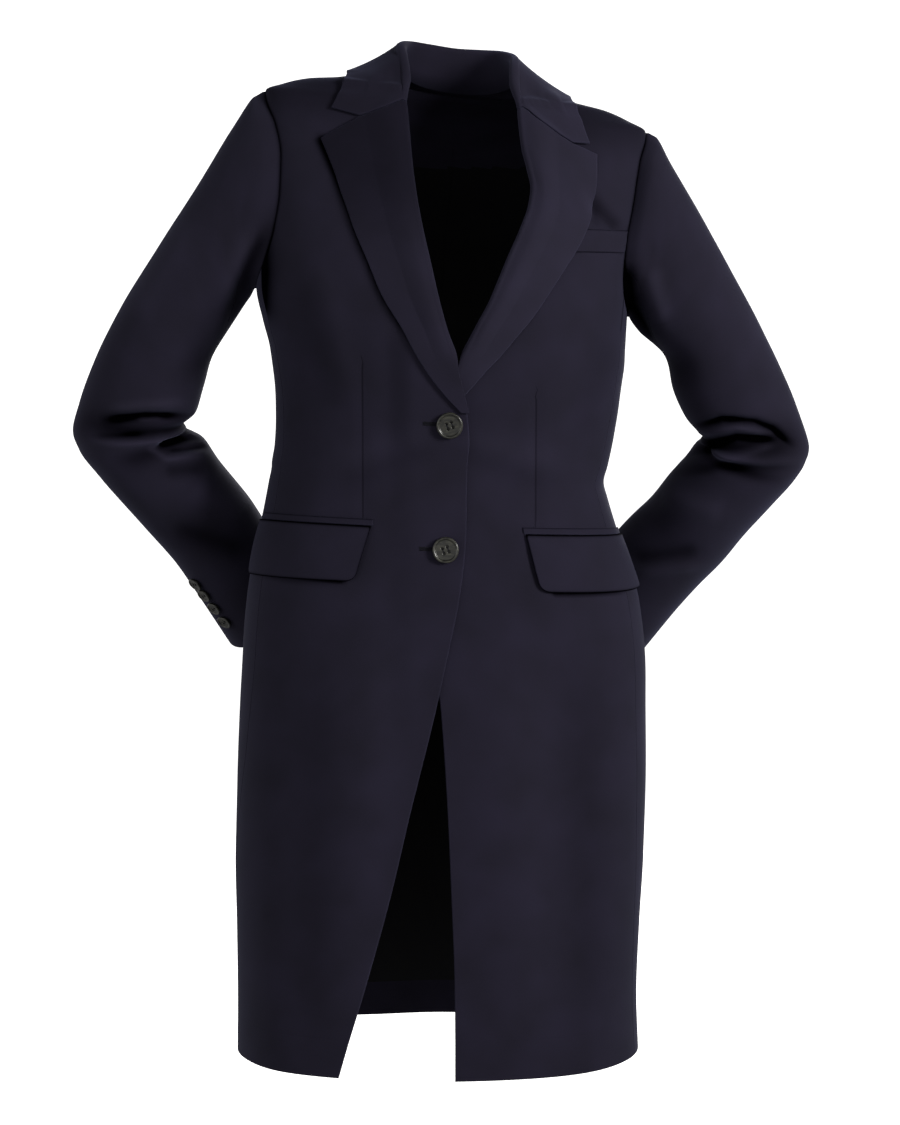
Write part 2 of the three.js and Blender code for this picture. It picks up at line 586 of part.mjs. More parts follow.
const HEAD_ROWS = 4; // rows over which the sleeve's head settles from the armhole into the arm
const FOLD_WIDE = 34; // half the width in degrees of the sharp turn under the arm
function sleeveSurface(side) {
  const table = side === "right" ? RIGHT_ARM : LEFT_ARM;
  const rim = (turn) => {
    const at = ((turn % 360) + 360) % 360;
    // Under the arm the sleeve turns sharply off the body.
    const fold = Math.exp(-(((at - 180) / FOLD_WIDE) ** 2));
    const a = armhole[side](at),
      z = armhole.z(at);
    const p = lean(onForm(a, z, CLOTH * (1 - 0.5 * fold)));
    // Away from the body pieces, along the cloth.
    const near = (t) => formPoint(armhole[side](t), armhole.z(t));
    const away = unit(cross(formNormal(a, z), sub(near(Math.min(at + 1, 360)), near(Math.max(at - 1, 0)))));
    return add(p, away, (side === "right" ? -1 : 1) * (SEAM + 0.15 + 0.5 * fold));
  };
  const names = ["outX", "outZ", "inX", "inZ", "y", "deep"];
  const top = rim(0),
    under = rim(180);
  const rows = [
    { row: 0, outX: top[0], outZ: top[2], inX: under[0], inZ: under[2], y: 6, deep: 63 },
    ...table,
  ];
  const read = Object.fromEntries(names.map((n) => [n, column(rows, "row", n)]));
  const centre = (v) => [(read.outX(v) + read.inX(v)) / 2, read.y(v), (read.outZ(v) + read.inZ(v)) / 2];
  const plain = (turn, v) => {
    const half = [(read.outX(v) - read.inX(v)) / 2, 0, (read.outZ(v) - read.inZ(v)) / 2];
    const along = unit(sub(centre(Math.min(v + 0.3, rows.length - 1)), centre(Math.max(v - 0.3, 0))));
    let deep = unit(cross(half, along));
    if (deep[1] > 0) deep = deep.map((k) => -k);
    const tilt = smooth(0, HEAD_ROWS, v); // near the armhole the sections stand upright
    deep = unit(between([0, -1, 0], deep, tilt));
    return add(add(centre(v), half, Math.cos(rad(turn))), deep, read.deep(v) * Math.sin(rad(turn)));
  };
  const inwards = (turn, v) => {
    const p = plain(turn, v);
    return unit(sub(centre(v), p));
  };
  return {
    last: rows.length - 1,
    point(turn, v) {
      let p = plain(turn, v);
      if (v < HEAD_ROWS) {
        const gap = sub(rim(turn), plain(turn, 0));
        p = add(p, gap, (1 - v / HEAD_ROWS) ** 1.5);
      }
      let deep = 0;
      for (const f of ELBOW_FOLDS[side]) {
        const off = turnGap(turn, f.turn) / f.reach;
        const line = f.row + (f.slope * (turn - f.turn)) / 90;
        deep += f.deep * Math.exp(-(((v - line) / f.wide) ** 2)) * Math.exp(-(off ** 4));
      }
      return add(p, inwards(turn, v), deep);
    },
  };
}
const sleeve = { right: sleeveSurface("right"), left: sleeveSurface("left") };

// Rows of each sleeve's grid: places along the arm, closest at the elbow's folds.
const SLEEVE_STATIONS = {
  right: [
    0, 0.4, 1, 1.8, 2.6, 3.3, 4, 4.6, 5.2, 5.8, 6.5, 7,
    7.3, 7.55, 7.8, 8.15, 8.5, 9, 9.5, 10.3, 11.3, 12.4, 13.6, 15,
  ],
  left: [
    0, 0.4, 1, 1.8, 2.6, 3.3, 4, 4.6, 5.2, 5.8, 6.5, 7,
    7.45, 7.75, 8.05, 8.35, 8.75, 9.2, 9.7, 10.5, 11.5, 13, 14.4, 16,
  ],
};
// The places round the armhole at which each half's columns start: they meet the body's rows there.
const HALF_TURNS = {
  top: [...BACK_TURNS.slice(3, -1).map((t) => t - 360), ...FRONT_TURNS.slice(0, 9)],
  under: [...FRONT_TURNS.slice(8, -1), ...UNDER_TURNS, ...BACK_TURNS.slice(1, 4)],
};
const seamTurn = {
  right: {
    front: column(SLEEVE_SEAMS, "row", "frontRight"),
    back: column(SLEEVE_SEAMS, "row", "backRight"),
  },
  left: {
    front: column(SLEEVE_SEAMS, "row", "frontLeft"),
    back: column(SLEEVE_SEAMS, "row", "backLeft"),
  },
};
const SLEEVE_RADIUS = 50; // a sleeve's mean radius, for the seams' gaps
const NEAR = 0.08; // rows to a neighbouring place, for directions along the arm
function sleeveHalf(side, half) {
  const sign = side === "right" ? 1 : -1;
  const surface = sleeve[side];
  const turns = HALF_TURNS[half],
    first = turns[0],
    span = turns.at(-1) - first;
  const place = (turn, v, j) => {
    const gap = (SEAM / 2 / SLEEVE_RADIUS) * (180 / Math.PI);
    const { front, back } = seamTurn[side];
    const from = half === "top" ? back(v) : front(v);
    const to = half === "top" ? front(v) : back(v) + 360;
    const edge = j === 0 ? gap : j === turns.length - 1 ? -gap : 0;
    return mix(from, to, (turn - first) / span) + edge;
  };
  const outward = (turn, v) => {
    const across = sub(surface.point(turn + 2, v), surface.point(turn - 2, v));
    const below = surface.point(turn, Math.min(v + NEAR, surface.last));
    const down = sub(below, surface.point(turn, Math.max(v - NEAR, 0)));
    return unit(cross(down, across)).map((k) => k * sign);
  };
  const face = (depth) =>
    SLEEVE_STATIONS[side].map((v) =>
      turns.map((turn, j) => {
        const at = place(turn, v, j);
        return add(surface.point(at, v), outward(at, v), -depth);
      }),
    );
  return solidBetween(face(CLOTH), face(0));
}
for (const side of ["right", "left"]) {
  piece("sleeve_" + side + "_top", sleeveHalf(side, "top"));
  piece("sleeve_" + side + "_under", sleeveHalf(side, "under"));
}

// Lapels: the front's facing, turned round the roll line and laid on the front
// The corner where lapel and collar part, on the top edge of each lapel; share: how far out along it.
const NOTCH = {
  right: { x: -91.4, z: -54.2, share: 0.56 },
  left: { x: 109.1, z: -58.4, share: 0.69 },
};
// Air under the lapel: on the left it clears the chest welt higher up.
const standOff = { right: () => 1.2, left: (z) => mix(2.7, 0.8, smooth(-176, -236, z)) };
const WRAP = 11; // length of the facing inside the roll
const BELLY = 2.2; // air that the soft roll keeps under the lapel beside it
const ROLL_SHARE = 0.24; // share of a lapel row that starts from the set-back roll
const WRAP_ARC = [180, 150, 110, 70, 35]; // degrees round the roll, from the inside to the top
const LAPEL_SHARES = [0, 0.09, 0.24, 0.42, 0.6, 0.8, 1];

// The middle of the cloth along one row: an inside leg, a turn round the roll, then on over the front to
// the outer edge.
function lapelRow(side, roll, path, wrap) {
  const sign = side === "right" ? -1 : 1;
  const back = { x: setBack(side, roll.x, roll.z), z: roll.z };
  const a = angleOf(back.x, back.z);
  const lift = frontLift[side](back.x, back.z);
  const n = formNormal(a, back.z);
  const edge = onForm(a, back.z, lift + CLOTH / 2);
  const outwards = onForm(angleOf(back.x + sign * 2, back.z), back.z, lift + CLOTH / 2);
  const over = unit(sub(edge, outwards)); // over the edge, into the opening
  // The turn opens out towards the break, where the facing only reaches the edge.
  const arc = (degrees) => {
    const t = rad(degrees * wrap);
    const spread = (0.9 * (1 - wrap) * degrees) / 180;
    return add(add(edge, n, ROLL * Math.cos(t)), over, ROLL * Math.sin(t) + spread);
  };
  const end = rad(180 * wrap);
  const leg = add(n.map((k) => -k * Math.sin(end)), over, Math.cos(end));
  const turned = WRAP_ARC.map(arc);
  const inside = add(turned[0], leg, mix(0.8, WRAP, 1 - smooth(-196, -242, roll.z)));
  const onTop = LAPEL_SHARES.map((share) => {
    const q = path(share);
    const x = mix(back.x, path(Math.max(share, ROLL_SHARE)).x, Math.min(1, share / ROLL_SHARE));
    const off = mix(ROLL - CLOTH, standOff[side](q.z), smooth(0, 0.35, share));
    const belly = BELLY * Math.sin(Math.PI * clamp01(share / 0.5)) * wrap;
    return onForm(angleOf(x, q.z), q.z, frontLift[side](x, q.z) + CLOTH * 1.5 + off + belly);
  });
  return [inside, ...turned, ...onTop];
}
const LAPEL_ROWS = {
  right: RIGHT_FRONT_ROWS.filter((row) => row.outX !== undefined),
  left: LEFT_FRONT_ROWS.filter((row) => row.outX !== undefined),
};
function lapel(side) {
  const rows = LAPEL_ROWS[side];
  const corner = NOTCH[side];
  const first = rows[0];
  const grid = rows.map((row, r) => {
    const wrap = wrapShare(row.z);
    const fade = Math.max(0, 1 - r / 4) ** 2; // the bend dies away over four rows
    const path = (share) => {
      const straight = { x: mix(row.x, row.outX, share), z: mix(row.z, row.outZ, share) };
      // The top edge bends at the notch corner.
      const part = share < corner.share ? share / corner.share : (1 - share) / (1 - corner.share);
      const bendX = corner.x - mix(first.x, first.outX, corner.share),
        bendZ = corner.z - mix(first.z, first.outZ, corner.share);
      return { x: straight.x + bendX * part * fade, z: straight.z + bendZ * part * fade };
    };
    return lapelRow(side, row, path, wrap).map(lean);
  });
  return sheetAbout(grid);
}
piece("lapel_right", lapel("right"));
piece("lapel_left", lapel("left"));

// Collar: stand and fall in one, turned over at the crest
// One row for each rib round the neck. foot: of the stand, on the neck seam; crest: top of the turn;
// rim: of the fall. Ribs run from the right gorge round the back of the neck to the left gorge.
const COLLAR_RIBS = [
  { foot: [-51, -26, -20], crest: [-47.3, -31, -9], rim: [-110.5, -38, -31] },
  { foot: [-60, -12, -8], crest: [-49, -13, 11], rim: [-105, -16, -17] },
  { foot: [-65.5, 8, -1.5], crest: [-51, 9, 24], rim: [-102, 12, -14] },
  { foot: [-55, 36, -5], crest: [-43, 34, 28], rim: [-83, 52, -22] },
  { foot: [-32, 52, -13], crest: [-25, 47, 28], rim: [-46, 72, -34] },
  { foot: [0, 57, -15.5], crest: [0, 51, 27], rim: [0, 77, -38] },
  { foot: [32, 52, -13], crest: [25, 47, 28], rim: [46, 72, -34] },
  { foot: [55, 36, -5], crest: [43, 34, 28], rim: [84, 52, -20] },
  { foot: [65.5, 8, -1.5], crest: [54, 9, 24], rim: [107, 12, -12] },
  { foot: [62, -10, -7], crest: [55, -11, 14], rim: [111, -14, -15] },
  { foot: [57.5, -22, -17], crest: [56, -27, -5], rim: [116.5, -33, -30] },
];
const COLLAR_TIP = { right: { x: -118.2, z: -48.4 }, left: { x: 125.5, z: -56.4 } };
const COLLAR_OFF = CLOTH * 1.5 + 1.2; // middle of the fall's cloth above the form
const FALL_SHARES = LAPEL_SHARES;
const FALL_DROP = 9; // how far the fall runs straight down after the turn
const FALL_REACH = 0.32; // and how far it then leans towards its rim

// A rib has the lapel row's points: foot, five round the turn, then the fall.
function collarRib({ foot, crest, rim }) {
  const up = unit(sub(crest, foot));
  const flat = sub(rim, crest);
  const out = unit(add(flat, up, -dot(flat, up)));
  const centre = add(crest, up, -ROLL);
  const arc = (degrees) => {
    const t = rad(degrees);
    return add(add(centre, out, ROLL * Math.cos(t)), up, ROLL * Math.sin(t));
  };
  const turned = [foot, ...WRAP_ARC.map(arc)];
  const start = arc(0);
  const end = clearOfForm(rim, COLLAR_OFF);
  const handle = between(add(start, up, -FALL_DROP), end, FALL_REACH);
  const fall = FALL_SHARES.map((t) => {
    const p = between(between(start, handle, t), between(handle, end, t), t);
    return clearOfForm(p, COLLAR_OFF);
  });
  return [...turned, ...fall];
}
// The gorge rib lies along the lapel's top edge as far as the notch, and then runs out to the collar's tip.
function gorgeRib(side) {
  const top = LAPEL_ROWS[side][0];
  const roll = { x: top.x, z: top.z + SEAM + AIR };
  const corner = NOTCH[side],
    tip = COLLAR_TIP[side];
  const cornerZ = corner.z + SEAM + AIR + 0.1;
  const turn = 0.6; // share of the rib that lies along the lapel
  const path = (share) => {
    const along = Math.min(1, share / turn),
      out = Math.max(0, (share - turn) / (1 - turn));
    return {
      x: mix(mix(roll.x, corner.x, along), tip.x, out),
      z: mix(mix(roll.z, cornerZ, along), tip.z, out),
    };
  };
  return lapelRow(side, roll, path, 1);
}
const keyRibs = [gorgeRib("right"), ...COLLAR_RIBS.map(collarRib), gorgeRib("left")];
const RIBS_BETWEEN = 2;
// A Catmull-Rom curve through a list of points.
function through(points, at) {
  const i = Math.min(points.length - 2, Math.floor(at)),
    t = at - i;
  const p = (k) => points[Math.min(points.length - 1, Math.max(0, k))];
  return [0, 1, 2].map((d) => {
    const [a, b, c, e] = [p(i - 1)[d], p(i)[d], p(i + 1)[d], p(i + 2)[d]];
    return b + 0.5 * t * (c - a + t * (2 * a - 5 * b + 4 * c - e + t * (3 * (b - c) + e - a)));
  });
}
const ribCount = (keyRibs.length - 1) * RIBS_BETWEEN;
const collarGrid = steps(ribCount).map((t) =>
  keyRibs[0].map((_, c) => {
    const p = through(keyRibs.map((rib) => rib[c]), t * (keyRibs.length - 1));
    const laid = c > WRAP_ARC.length + 1 ? clearOfForm(p, COLLAR_OFF) : p;
    return lean(laid);
  }),
);
piece("collar", sheetAbout(collarGrid));

// Pockets
// Each edge of a flap from its front end to its rear end. topAngles, footAngles: where the ends lie
// round the form, at the top and at the lower edge; top, foot: levels of the two edges.
const FLAPS = {
  right: { topAngles: [-21.6, -79], footAngles: [-25.8, -79], top: [-431.5, -438], foot: [-485, -491] },
  left: { topAngles: [27.4, 87], footAngles: [28.6, 87], top: [-433, -437.5], foot: [-488, -489.5] },
};
// length: along the top edge; stand: air under the flap; corner: radius of the lower corners;
// belly: how far the middle swells out; sag: how late the rear end drops.
const FLAP = { length: 150, wall: 2.6, stand: 0.6, corner: 9, belly: 1.6, sag: 1.5 };
const JET = { height: 6, above: 0.5, wall: 1.3, stand: 0.3 };
const FLAP_ACROSS = [0, 0.012, 0.035, 0.07, 0.16, 0.3, 0.44, 0.58, 0.72, 0.86, 0.94, 0.98, 1];
// How far a rounded corner lifts the lower edge, `near` millimetres from its end.
const cornerLift = (near) => {
  const inside = Math.max(0, FLAP.corner - near);
  return FLAP.corner - Math.sqrt(FLAP.corner ** 2 - inside ** 2);
};
function flap(side) {
  const f = FLAPS[side];
  const grid = steps(5).map((v) =>
    FLAP_ACROSS.map((u) => {
      const top = mix(...f.top, u ** FLAP.sag),
        foot = mix(...f.foot, u ** FLAP.sag) + cornerLift(Math.min(u, 1 - u) * FLAP.length);
      const angle = mix(mix(...f.topAngles, u), mix(...f.footAngles, u), v);
      const out = CLOTH + FLAP.stand + FLAP.belly * Math.sin(Math.PI * v * 0.8);
      return [angle, mix(top, foot, v), out];
    }),
  );
  return sheetOnForm(grid, FLAP.wall);
}
function jet(side) {
  const f = FLAPS[side];
  const beyond = side === "right" ? 0.5 : -0.5; // degrees that the jet runs past each end of the flap
  const grid = steps(1).map((v) =>
    steps(9).map((u) => [
      mix(f.topAngles[0] + beyond, f.topAngles[1] - beyond, u),
      mix(...f.top, u ** FLAP.sag) + JET.above + JET.height * (1 - v),
      CLOTH + JET.stand,
    ]),
  );
  return sheetOnForm(grid, JET.wall);
}
for (const side of ["right", "left"]) {
  piece("flap_" + side, flap(side));
  piece("jet_" + side, jet(side));
}
// The chest welt slants up to the shoulder; its front end lies under the lapel.
// top, foot: its two edges, each from the front end to the rear end.
const WELT = {
  top: [{ x: 113.5, z: -138.3 }, { x: 161, z: -133.6 }],
  foot: [{ x: 103.5, z: -161 }, { x: 157, z: -156 }],
  wall: 1.6,
  stand: 0.45,
};
const weltGrid = steps(2).map((v) =>
  steps(7).map((u) => {
    const along = (edge, axis) => mix(edge[0][axis], edge[1][axis], u);
    const x = mix(along(WELT.top, "x"), along(WELT.foot, "x"), v);
    const z = mix(along(WELT.top, "z"), along(WELT.foot, "z"), v);
    return [angleOf(x, z), z, CLOTH + WELT.stand];
  }),
);
piece("chest_welt", sheetOnForm(weltGrid, WELT.wall));

// Buttons: a turned disc with a raised rim and four holes
function buttonGeometry(size) {
  const r = size.across / 2,
    t = size.thick;
  const profile = [
    [0, 0],
    [r * 0.72, 0],
    [r * 0.93, t * 0.28],
    [r, t * 0.6],
    [r * 0.96, t * 0.9],
    [r - size.rim * 0.55, t],
    [r - size.rim, t * 0.93],
    [r - size.rim * 1.25, t - size.dish],
    [0, t - size.dish * 1.15],
  ].map(([x, y]) => new THREE.Vector2(x, y));
  const turned = new THREE.LatheGeometry(profile, size.around);
  turned.deleteAttribute("normal");
  turned.deleteAttribute("uv");
  turned.rotateX(Math.PI / 2); // the face looks along +Z
  const merged = mergeVertices(turned, 1e-4);
  const whole = (g) =>
    new wasm.Manifold(
      new wasm.Mesh({
        numProp: 3,
        vertProperties: new Float32Array(g.attributes.position.array),
        triVerts: new Uint32Array(g.index.array),
      }),
    );
  let solid = whole(merged);
  for (const [x, y] of [[1, 1], [-1, 1], [-1, -1], [1, -1]]) {
    const hole = wasm.Manifold.cylinder(t * 3, size.hole / 2, size.hole / 2, 6, true);
    solid = solid.subtract(hole.translate([(x * size.spread) / 2, (y * size.spread) / 2, t / 2]));
  }
  const m = solid.getMesh();
  return new THREE.BufferGeometry()
    .setAttribute("position", new THREE.Float32BufferAttribute(m.vertProperties, 3))
    .setIndex([...m.triVerts]);
}
// Sets a button down on the cloth at `point`, its face along `normal`.
function setButton(name, size, point, normal) {
  const facing = new THREE.Vector3(...normal);
  const turn = new THREE.Quaternion().setFromUnitVectors(new THREE.Vector3(0, 0, 1), facing);
  const foot = add(point, normal, SEAM + AIR);
  piece(name, buttonGeometry(size).applyQuaternion(turn).translate(...foot), HORN);
}
const FRONT_BUTTONS = [
  { name: "button_top", x: -6.4, z: -330.7 },
  { name: "button_bottom", x: -10.2, z: -450 },
];
for (const { name, x, z } of FRONT_BUTTONS) {
  const at = (dx, dz) => {
    const out = lapLift(x + dx, z + dz) + CLOTH;
    return lean(onForm(angleOf(x + dx, z + dz), z + dz, out));
  };
  const reach = BUTTON.across / 4;
  const down = sub(at(0, -reach), at(0, reach)),
    across = sub(at(reach, 0), at(-reach, 0));
  setButton(name, BUTTON, at(0, 0), unit(cross(down, across)));
}
// Cuff buttons, from the first to the last: rows: places along the arm, turns: places round it.
const CUFF_BUTTONS = {
  right: { turns: [31, 38], rows: [12.6, 13.98] },
  left: { turns: [-36, -36], rows: [13.5, 14.95] },
};
const CUFF_COUNT = 4;
for (const side of ["right", "left"]) {
  const { point } = sleeve[side];
  const sense = side === "right" ? 1 : -1;
  for (let k = 0; k < CUFF_COUNT; k++) {
    const { turns, rows } = CUFF_BUTTONS[side];
    const turn = mix(...turns, k / (CUFF_COUNT - 1)),
      v = mix(...rows, k / (CUFF_COUNT - 1));
    const along = sub(point(turn, v + 0.1), point(turn, v - 0.1)),
      round = sub(point(turn + 3, v), point(turn - 3, v));
    const normal = unit(cross(along, round)).map((n) => n * sense);
    setButton("cuff_button_" + side + "_" + (k + 1), CUFF_BUTTON, point(turn, v), normal);
  }
}

export default coat;
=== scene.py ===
"""A worn wool overcoat: navy, single-breasted, notch lapels, two front buttons, knee length.

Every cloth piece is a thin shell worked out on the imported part's own form. Lengths are millimetres in
the formulas and metres in the meshes. +Z is up, -Y is the front of the coat, +X is the wearer's left.
"""

import bpy
import numpy as np
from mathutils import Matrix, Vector


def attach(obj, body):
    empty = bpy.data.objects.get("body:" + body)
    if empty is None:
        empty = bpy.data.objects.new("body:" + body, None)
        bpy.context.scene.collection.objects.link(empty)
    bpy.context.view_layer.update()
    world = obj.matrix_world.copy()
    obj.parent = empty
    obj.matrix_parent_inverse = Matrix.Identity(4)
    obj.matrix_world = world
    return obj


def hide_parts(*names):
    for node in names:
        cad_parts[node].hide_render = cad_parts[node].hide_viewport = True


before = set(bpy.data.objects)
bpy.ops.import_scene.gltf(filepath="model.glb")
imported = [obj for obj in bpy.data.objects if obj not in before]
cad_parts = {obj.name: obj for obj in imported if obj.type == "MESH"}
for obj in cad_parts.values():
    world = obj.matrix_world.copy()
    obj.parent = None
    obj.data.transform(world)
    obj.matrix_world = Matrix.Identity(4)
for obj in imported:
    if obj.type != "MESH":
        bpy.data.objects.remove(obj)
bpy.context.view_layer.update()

bl_info = {
    "name": "Wool overcoat",
    "version": (1, 0, 0),
    "blender": (4, 5, 0),
    "location": "3D View > Sidebar > Overcoat",
    "description": "Builds a worn, single-breasted wool overcoat round its packed frame",
    "category": "Object",
}

MM = 0.001  # one millimetre in metres
CLOTH = 2.5  # wall of the coat cloth with its lining
SEAM = 0.3  # gap between two pieces that lie on each other
JOIN = -0.06  # sewn edges press this far into each other
HEM_Z = -957.0
ROLL = CLOTH + 1.3  # middle of the cloth to the middle of the cloth at a turned roll
NECK_SEAM_Z = -4.0
STEP = 4.3  # distance between neighbouring points of a large sheet
SLEEVE_STEP = 2.6


# Small mathematics


def mix(a, b, t):
    return a + (b - a) * t


def smooth(low, high, v):
    """0 up to low, 1 from high on, and 3tt - 2ttt in between; low may be above high."""
    t = np.clip((v - low) / (high - low), 0, 1)
    return t * t * (3 - 2 * t)


def bell(v, middle, wide):
    """exp(-((v - middle) / wide) squared)"""
    return np.exp(-(((v - middle) / wide) ** 2))


def length_of(v):
    return np.linalg.norm(v, axis=-1)


def unit(v):
    return v / np.maximum(length_of(v), 1e-12)[..., None]


def column(at, values):
    """A cubic through (at, values) that never overshoots: each inner slope is the weighted harmonic
    mean of the two chords beside it, and 0 where they differ in sign."""
    at, values = np.asarray(at, float), np.asarray(values, float)
    if at[0] > at[-1]:
        at, values = at[::-1], values[::-1]
    h = np.diff(at)
    chord = np.diff(values) / h
    slope = np.concatenate([chord[:1], np.zeros(len(at) - 2), chord[-1:]])
    same = chord[:-1] * chord[1:] > 0
    w0, w1 = 2 * h[1:] + h[:-1], h[1:] + 2 * h[:-1]
    before, after = np.where(same, chord[:-1], 1), np.where(same, chord[1:], 1)
    slope[1:-1] = np.where(same, (w0 + w1) / (w0 / before + w1 / after), 0)

    def read(v):
        v = np.clip(np.asarray(v, float), at[0], at[-1])
        i = np.clip(np.searchsorted(at, v, side="right") - 1, 0, len(h) - 1)
        t = (v - at[i]) / h[i]
        t2, t3 = t * t, t * t * t
        return (
            values[i] * (2 * t3 - 3 * t2 + 1)
            + slope[i] * h[i] * (t3 - 2 * t2 + t)
            + values[i + 1] * (3 * t2 - 2 * t3)
            + slope[i + 1] * h[i] * (t3 - t2)
        )

    return read


class Table:
    """Named columns over the first one, each read with a smooth curve."""

    def __init__(self, names, rows):
        self.names = names.split()
        self.rows = np.array(rows, float)
        for k, name in enumerate(self.names[1:], 1):
            setattr(self, name, column(self.rows[:, 0], self.rows[:, k]))

    def list(self, name):
        return self.rows[:, self.names.index(name)]


# The form: the inner face of the coat's body, level by level

SECTION = Table(
    "z middle half front back full",
    [
        (60, 0, 50, 34, 50, 0),
        (20, 0, 53, 28, 52, 0),
        (0, 0, 60, 21, 55, 0),
        (-4, 0, 68, 22, 56, 0),
        (-10, 0, 88, 25, 58, 0.01),
        (-16.5, 0, 111, 29, 61, 0.02),
        (-21.5, 0, 143, 34, 63, 0.03),
        (-29.5, -0.5, 167, 40, 67, 0.04),
        (-36, -0.5, 181, 45, 70, 0.05),
        (-60, -2, 182, 58, 79, 0.05),
        (-100, -5, 182, 84, 91, 0.04),
        (-150, -10, 180, 110, 102, 0.03),
        (-190, -13, 178.5, 121, 106, 0.03),
        (-220, -14, 177.5, 124, 105, 0.03),
        (-250, -11.5, 173.5, 122, 100, 0.03),
        (-275, -9, 169.5, 119, 95, 0.03),
        (-305, -9, 165.5, 115, 90, 0.03),
        (-340, -11, 162.3, 111, 87, 0.03),
        (-368, -14.5, 160.3, 110, 87.5, 0.03),
        (-386, -18, 159.6, 110, 89.5, 0.03),
        (-402, -17.5, 163, 110, 92, 0.03),
        (-430, -16, 170, 111, 99, 0.03),
        (-465, -14.3, 179.5, 113, 108, 0.03),
        (-500, -12, 188.5, 116, 115, 0.03),
        (-560, -11.8, 195, 119, 120, 0.03),
        (-610, -13, 197, 121, 122, 0.03),
        (-690, -14.5, 199, 124, 125, 0.03),
        (-760, -16.5, 199.2, 126, 128, 0.03),
        (-830, -18, 197, 128, 131, 0.03),
        (-900, -19, 195.6, 130, 134, 0.03),
        (HEM_Z, -18.3, 197, 132, 137, 0.03),
    ],
)
# How much one shoulder sits above the other: the fall in Z for each millimetre of X.
LEAN = Table(
    "z fall",
    [
        (HEM_Z, 0),
        (-600, 0.01),
        (-500, 0.042),
        (-400, 0.05),
        (-300, 0.065),
        (-215, 0.08),
        (-120, 0.1),
        (-30, 0.108),
        (60, 0.108),
    ],
)
# Soft flutes of the hanging skirt: angle, width in degrees, depth at the hem.
FLUTES = [(134, 15, 6), (160, 12, -5), (-162, 14, -5), (-140, 13, 6), (-105, 14, -3), (-48, 13, 3), (44, 14, 3)]
# Folds drawn along lines as seen from the front (side -1) or the back (side 1): half width, height
# outwards, and the line's points in x and z. These are the body's, soft and shallow.
DRAG_FOLDS = [
    (-1, 17, -1.8, [(-150, -205), (-118, -330)]),
    (-1, 13, 1.2, [(-128, -190), (-100, -300)]),
    (-1, 13, 1.5, [(-20, -345), (-120, -372)]),
    (-1, 11, -1.4, [(-22, -352), (-112, -398)]),
    (-1, 13, 1.4, [(2, -345), (98, -366)]),
    (-1, 12, -1.3, [(0, -358), (92, -392)]),
    (-1, 16, -1.6, [(142, -235), (118, -345)]),
    (-1, 7, -5.0, [(125, -106), (134, -117), (146, -128), (155, -134)]),
    (-1, 6, -2.4, [(129, -114), (131, -134)]),
    (-1, 34, 2.2, [(-60, -520), (-92, -900)]),
    (-1, 24, -2.0, [(-135, -560), (-140, -930)]),
    (-1, 34, 2.2, [(60, -540), (78, -930)]),
    (-1, 24, -2.0, [(118, -560), (124, -930)]),
    (1, 18, -2.4, [(-120, -170), (-60, -330)]),
    (1, 18, -2.4, [(120, -180), (60, -335)]),
    (1, 14, -1.6, [(-100, -372), (90, -380)]),
    (1, 11, 1.8, [(-110, -352), (100, -358)]),
]


ARMPIT_SHADE = [(-188, -170), (-186, -205), (-188, -236)]


def lean(p):
    """z falls by LEAN.fall(z) for each millimetre of x."""
    return np.stack([p[..., 0], p[..., 1], p[..., 2] - LEAN.fall(p[..., 2]) * p[..., 0]], -1)


def turn_gap(a, b):
    return np.abs((a - b + 540) % 360 - 180)


def form_point(angle, z):
    """An ellipse at each level: x = middle + (half * bulge + wave) sin, y = -(depth * bulge + wave) cos.
    Angle 0 is the front, 90 the wearer's left side, -90 the right side."""
    angle, z = np.broadcast_arrays(np.asarray(angle, float), np.asarray(z, float))
    s, c = np.sin(np.radians(angle)), np.cos(np.radians(angle))
    bulge = 1 + SECTION.full(z) * np.sin(np.radians(2 * angle)) ** 2
    grow = smooth(-520, -940, z)
    wave = sum(grow * deep * bell(turn_gap(angle, at), 0, wide) for at, wide, deep in FLUTES)
    depth = np.where(c > 0, SECTION.front(z), SECTION.back(z))
    return np.stack(
        [SECTION.middle(z) + (SECTION.half(z) * bulge + wave) * s, -(depth * bulge + wave) * c, z], -1
    )


def form_normal(angle, z):
    across = form_point(angle + 0.5, z) - form_point(angle - 0.5, z)
    down = form_point(angle, z - 1) - form_point(angle, z + 1)
    return unit(np.cross(down, across))


def near_line(p, line):
    """Seen from the front: the distance of points from a line of (x, z) corners, and the share of the
    line's length where each point meets it."""
    line, flat = np.array(line, float), p[..., [0, 2]]
    spans = length_of(np.diff(line, axis=0))
    start = np.concatenate([[0], np.cumsum(spans)])
    best, share = np.full(p.shape[:-1], 1e9), np.zeros(p.shape[:-1])
    for k, span in enumerate(spans):
        along = (line[k + 1] - line[k]) / span
        t = np.clip((flat - line[k]) @ along, 0, span)
        off = length_of(flat - line[k] - t[..., None] * along)
        share = np.where(off < best, (start[k] + t) / start[-1], share)
        best = np.minimum(off, best)
    return best, share


def ridges(p, folds, facing):
    """Each fold is a ridge or trough along a line: height * exp(-(distance / width) squared), fading
    to nothing at the line's ends. It shows where facing (1 at the back, -1 in front) is on its side."""
    out = np.zeros(p.shape[:-1])
    for side, wide, high, line in folds:
        best, share = near_line(p, line)
        ends = smooth(-0.12, 0.22, share) * (1 - smooth(0.78, 1.12, share))
        out += high * bell(best, 0, wide) * ends * smooth(0, 0.35, side * facing)
    return out


def drape(p):
    """The body's drag folds."""
    return ridges(p, DRAG_FOLDS, p[..., 1] / 85)


def sunk(distance, deep, wide):
    """Shade of a sewn line or a free edge that lies in the shadow of the layer over it."""
    return -deep * bell(distance, 0, wide)


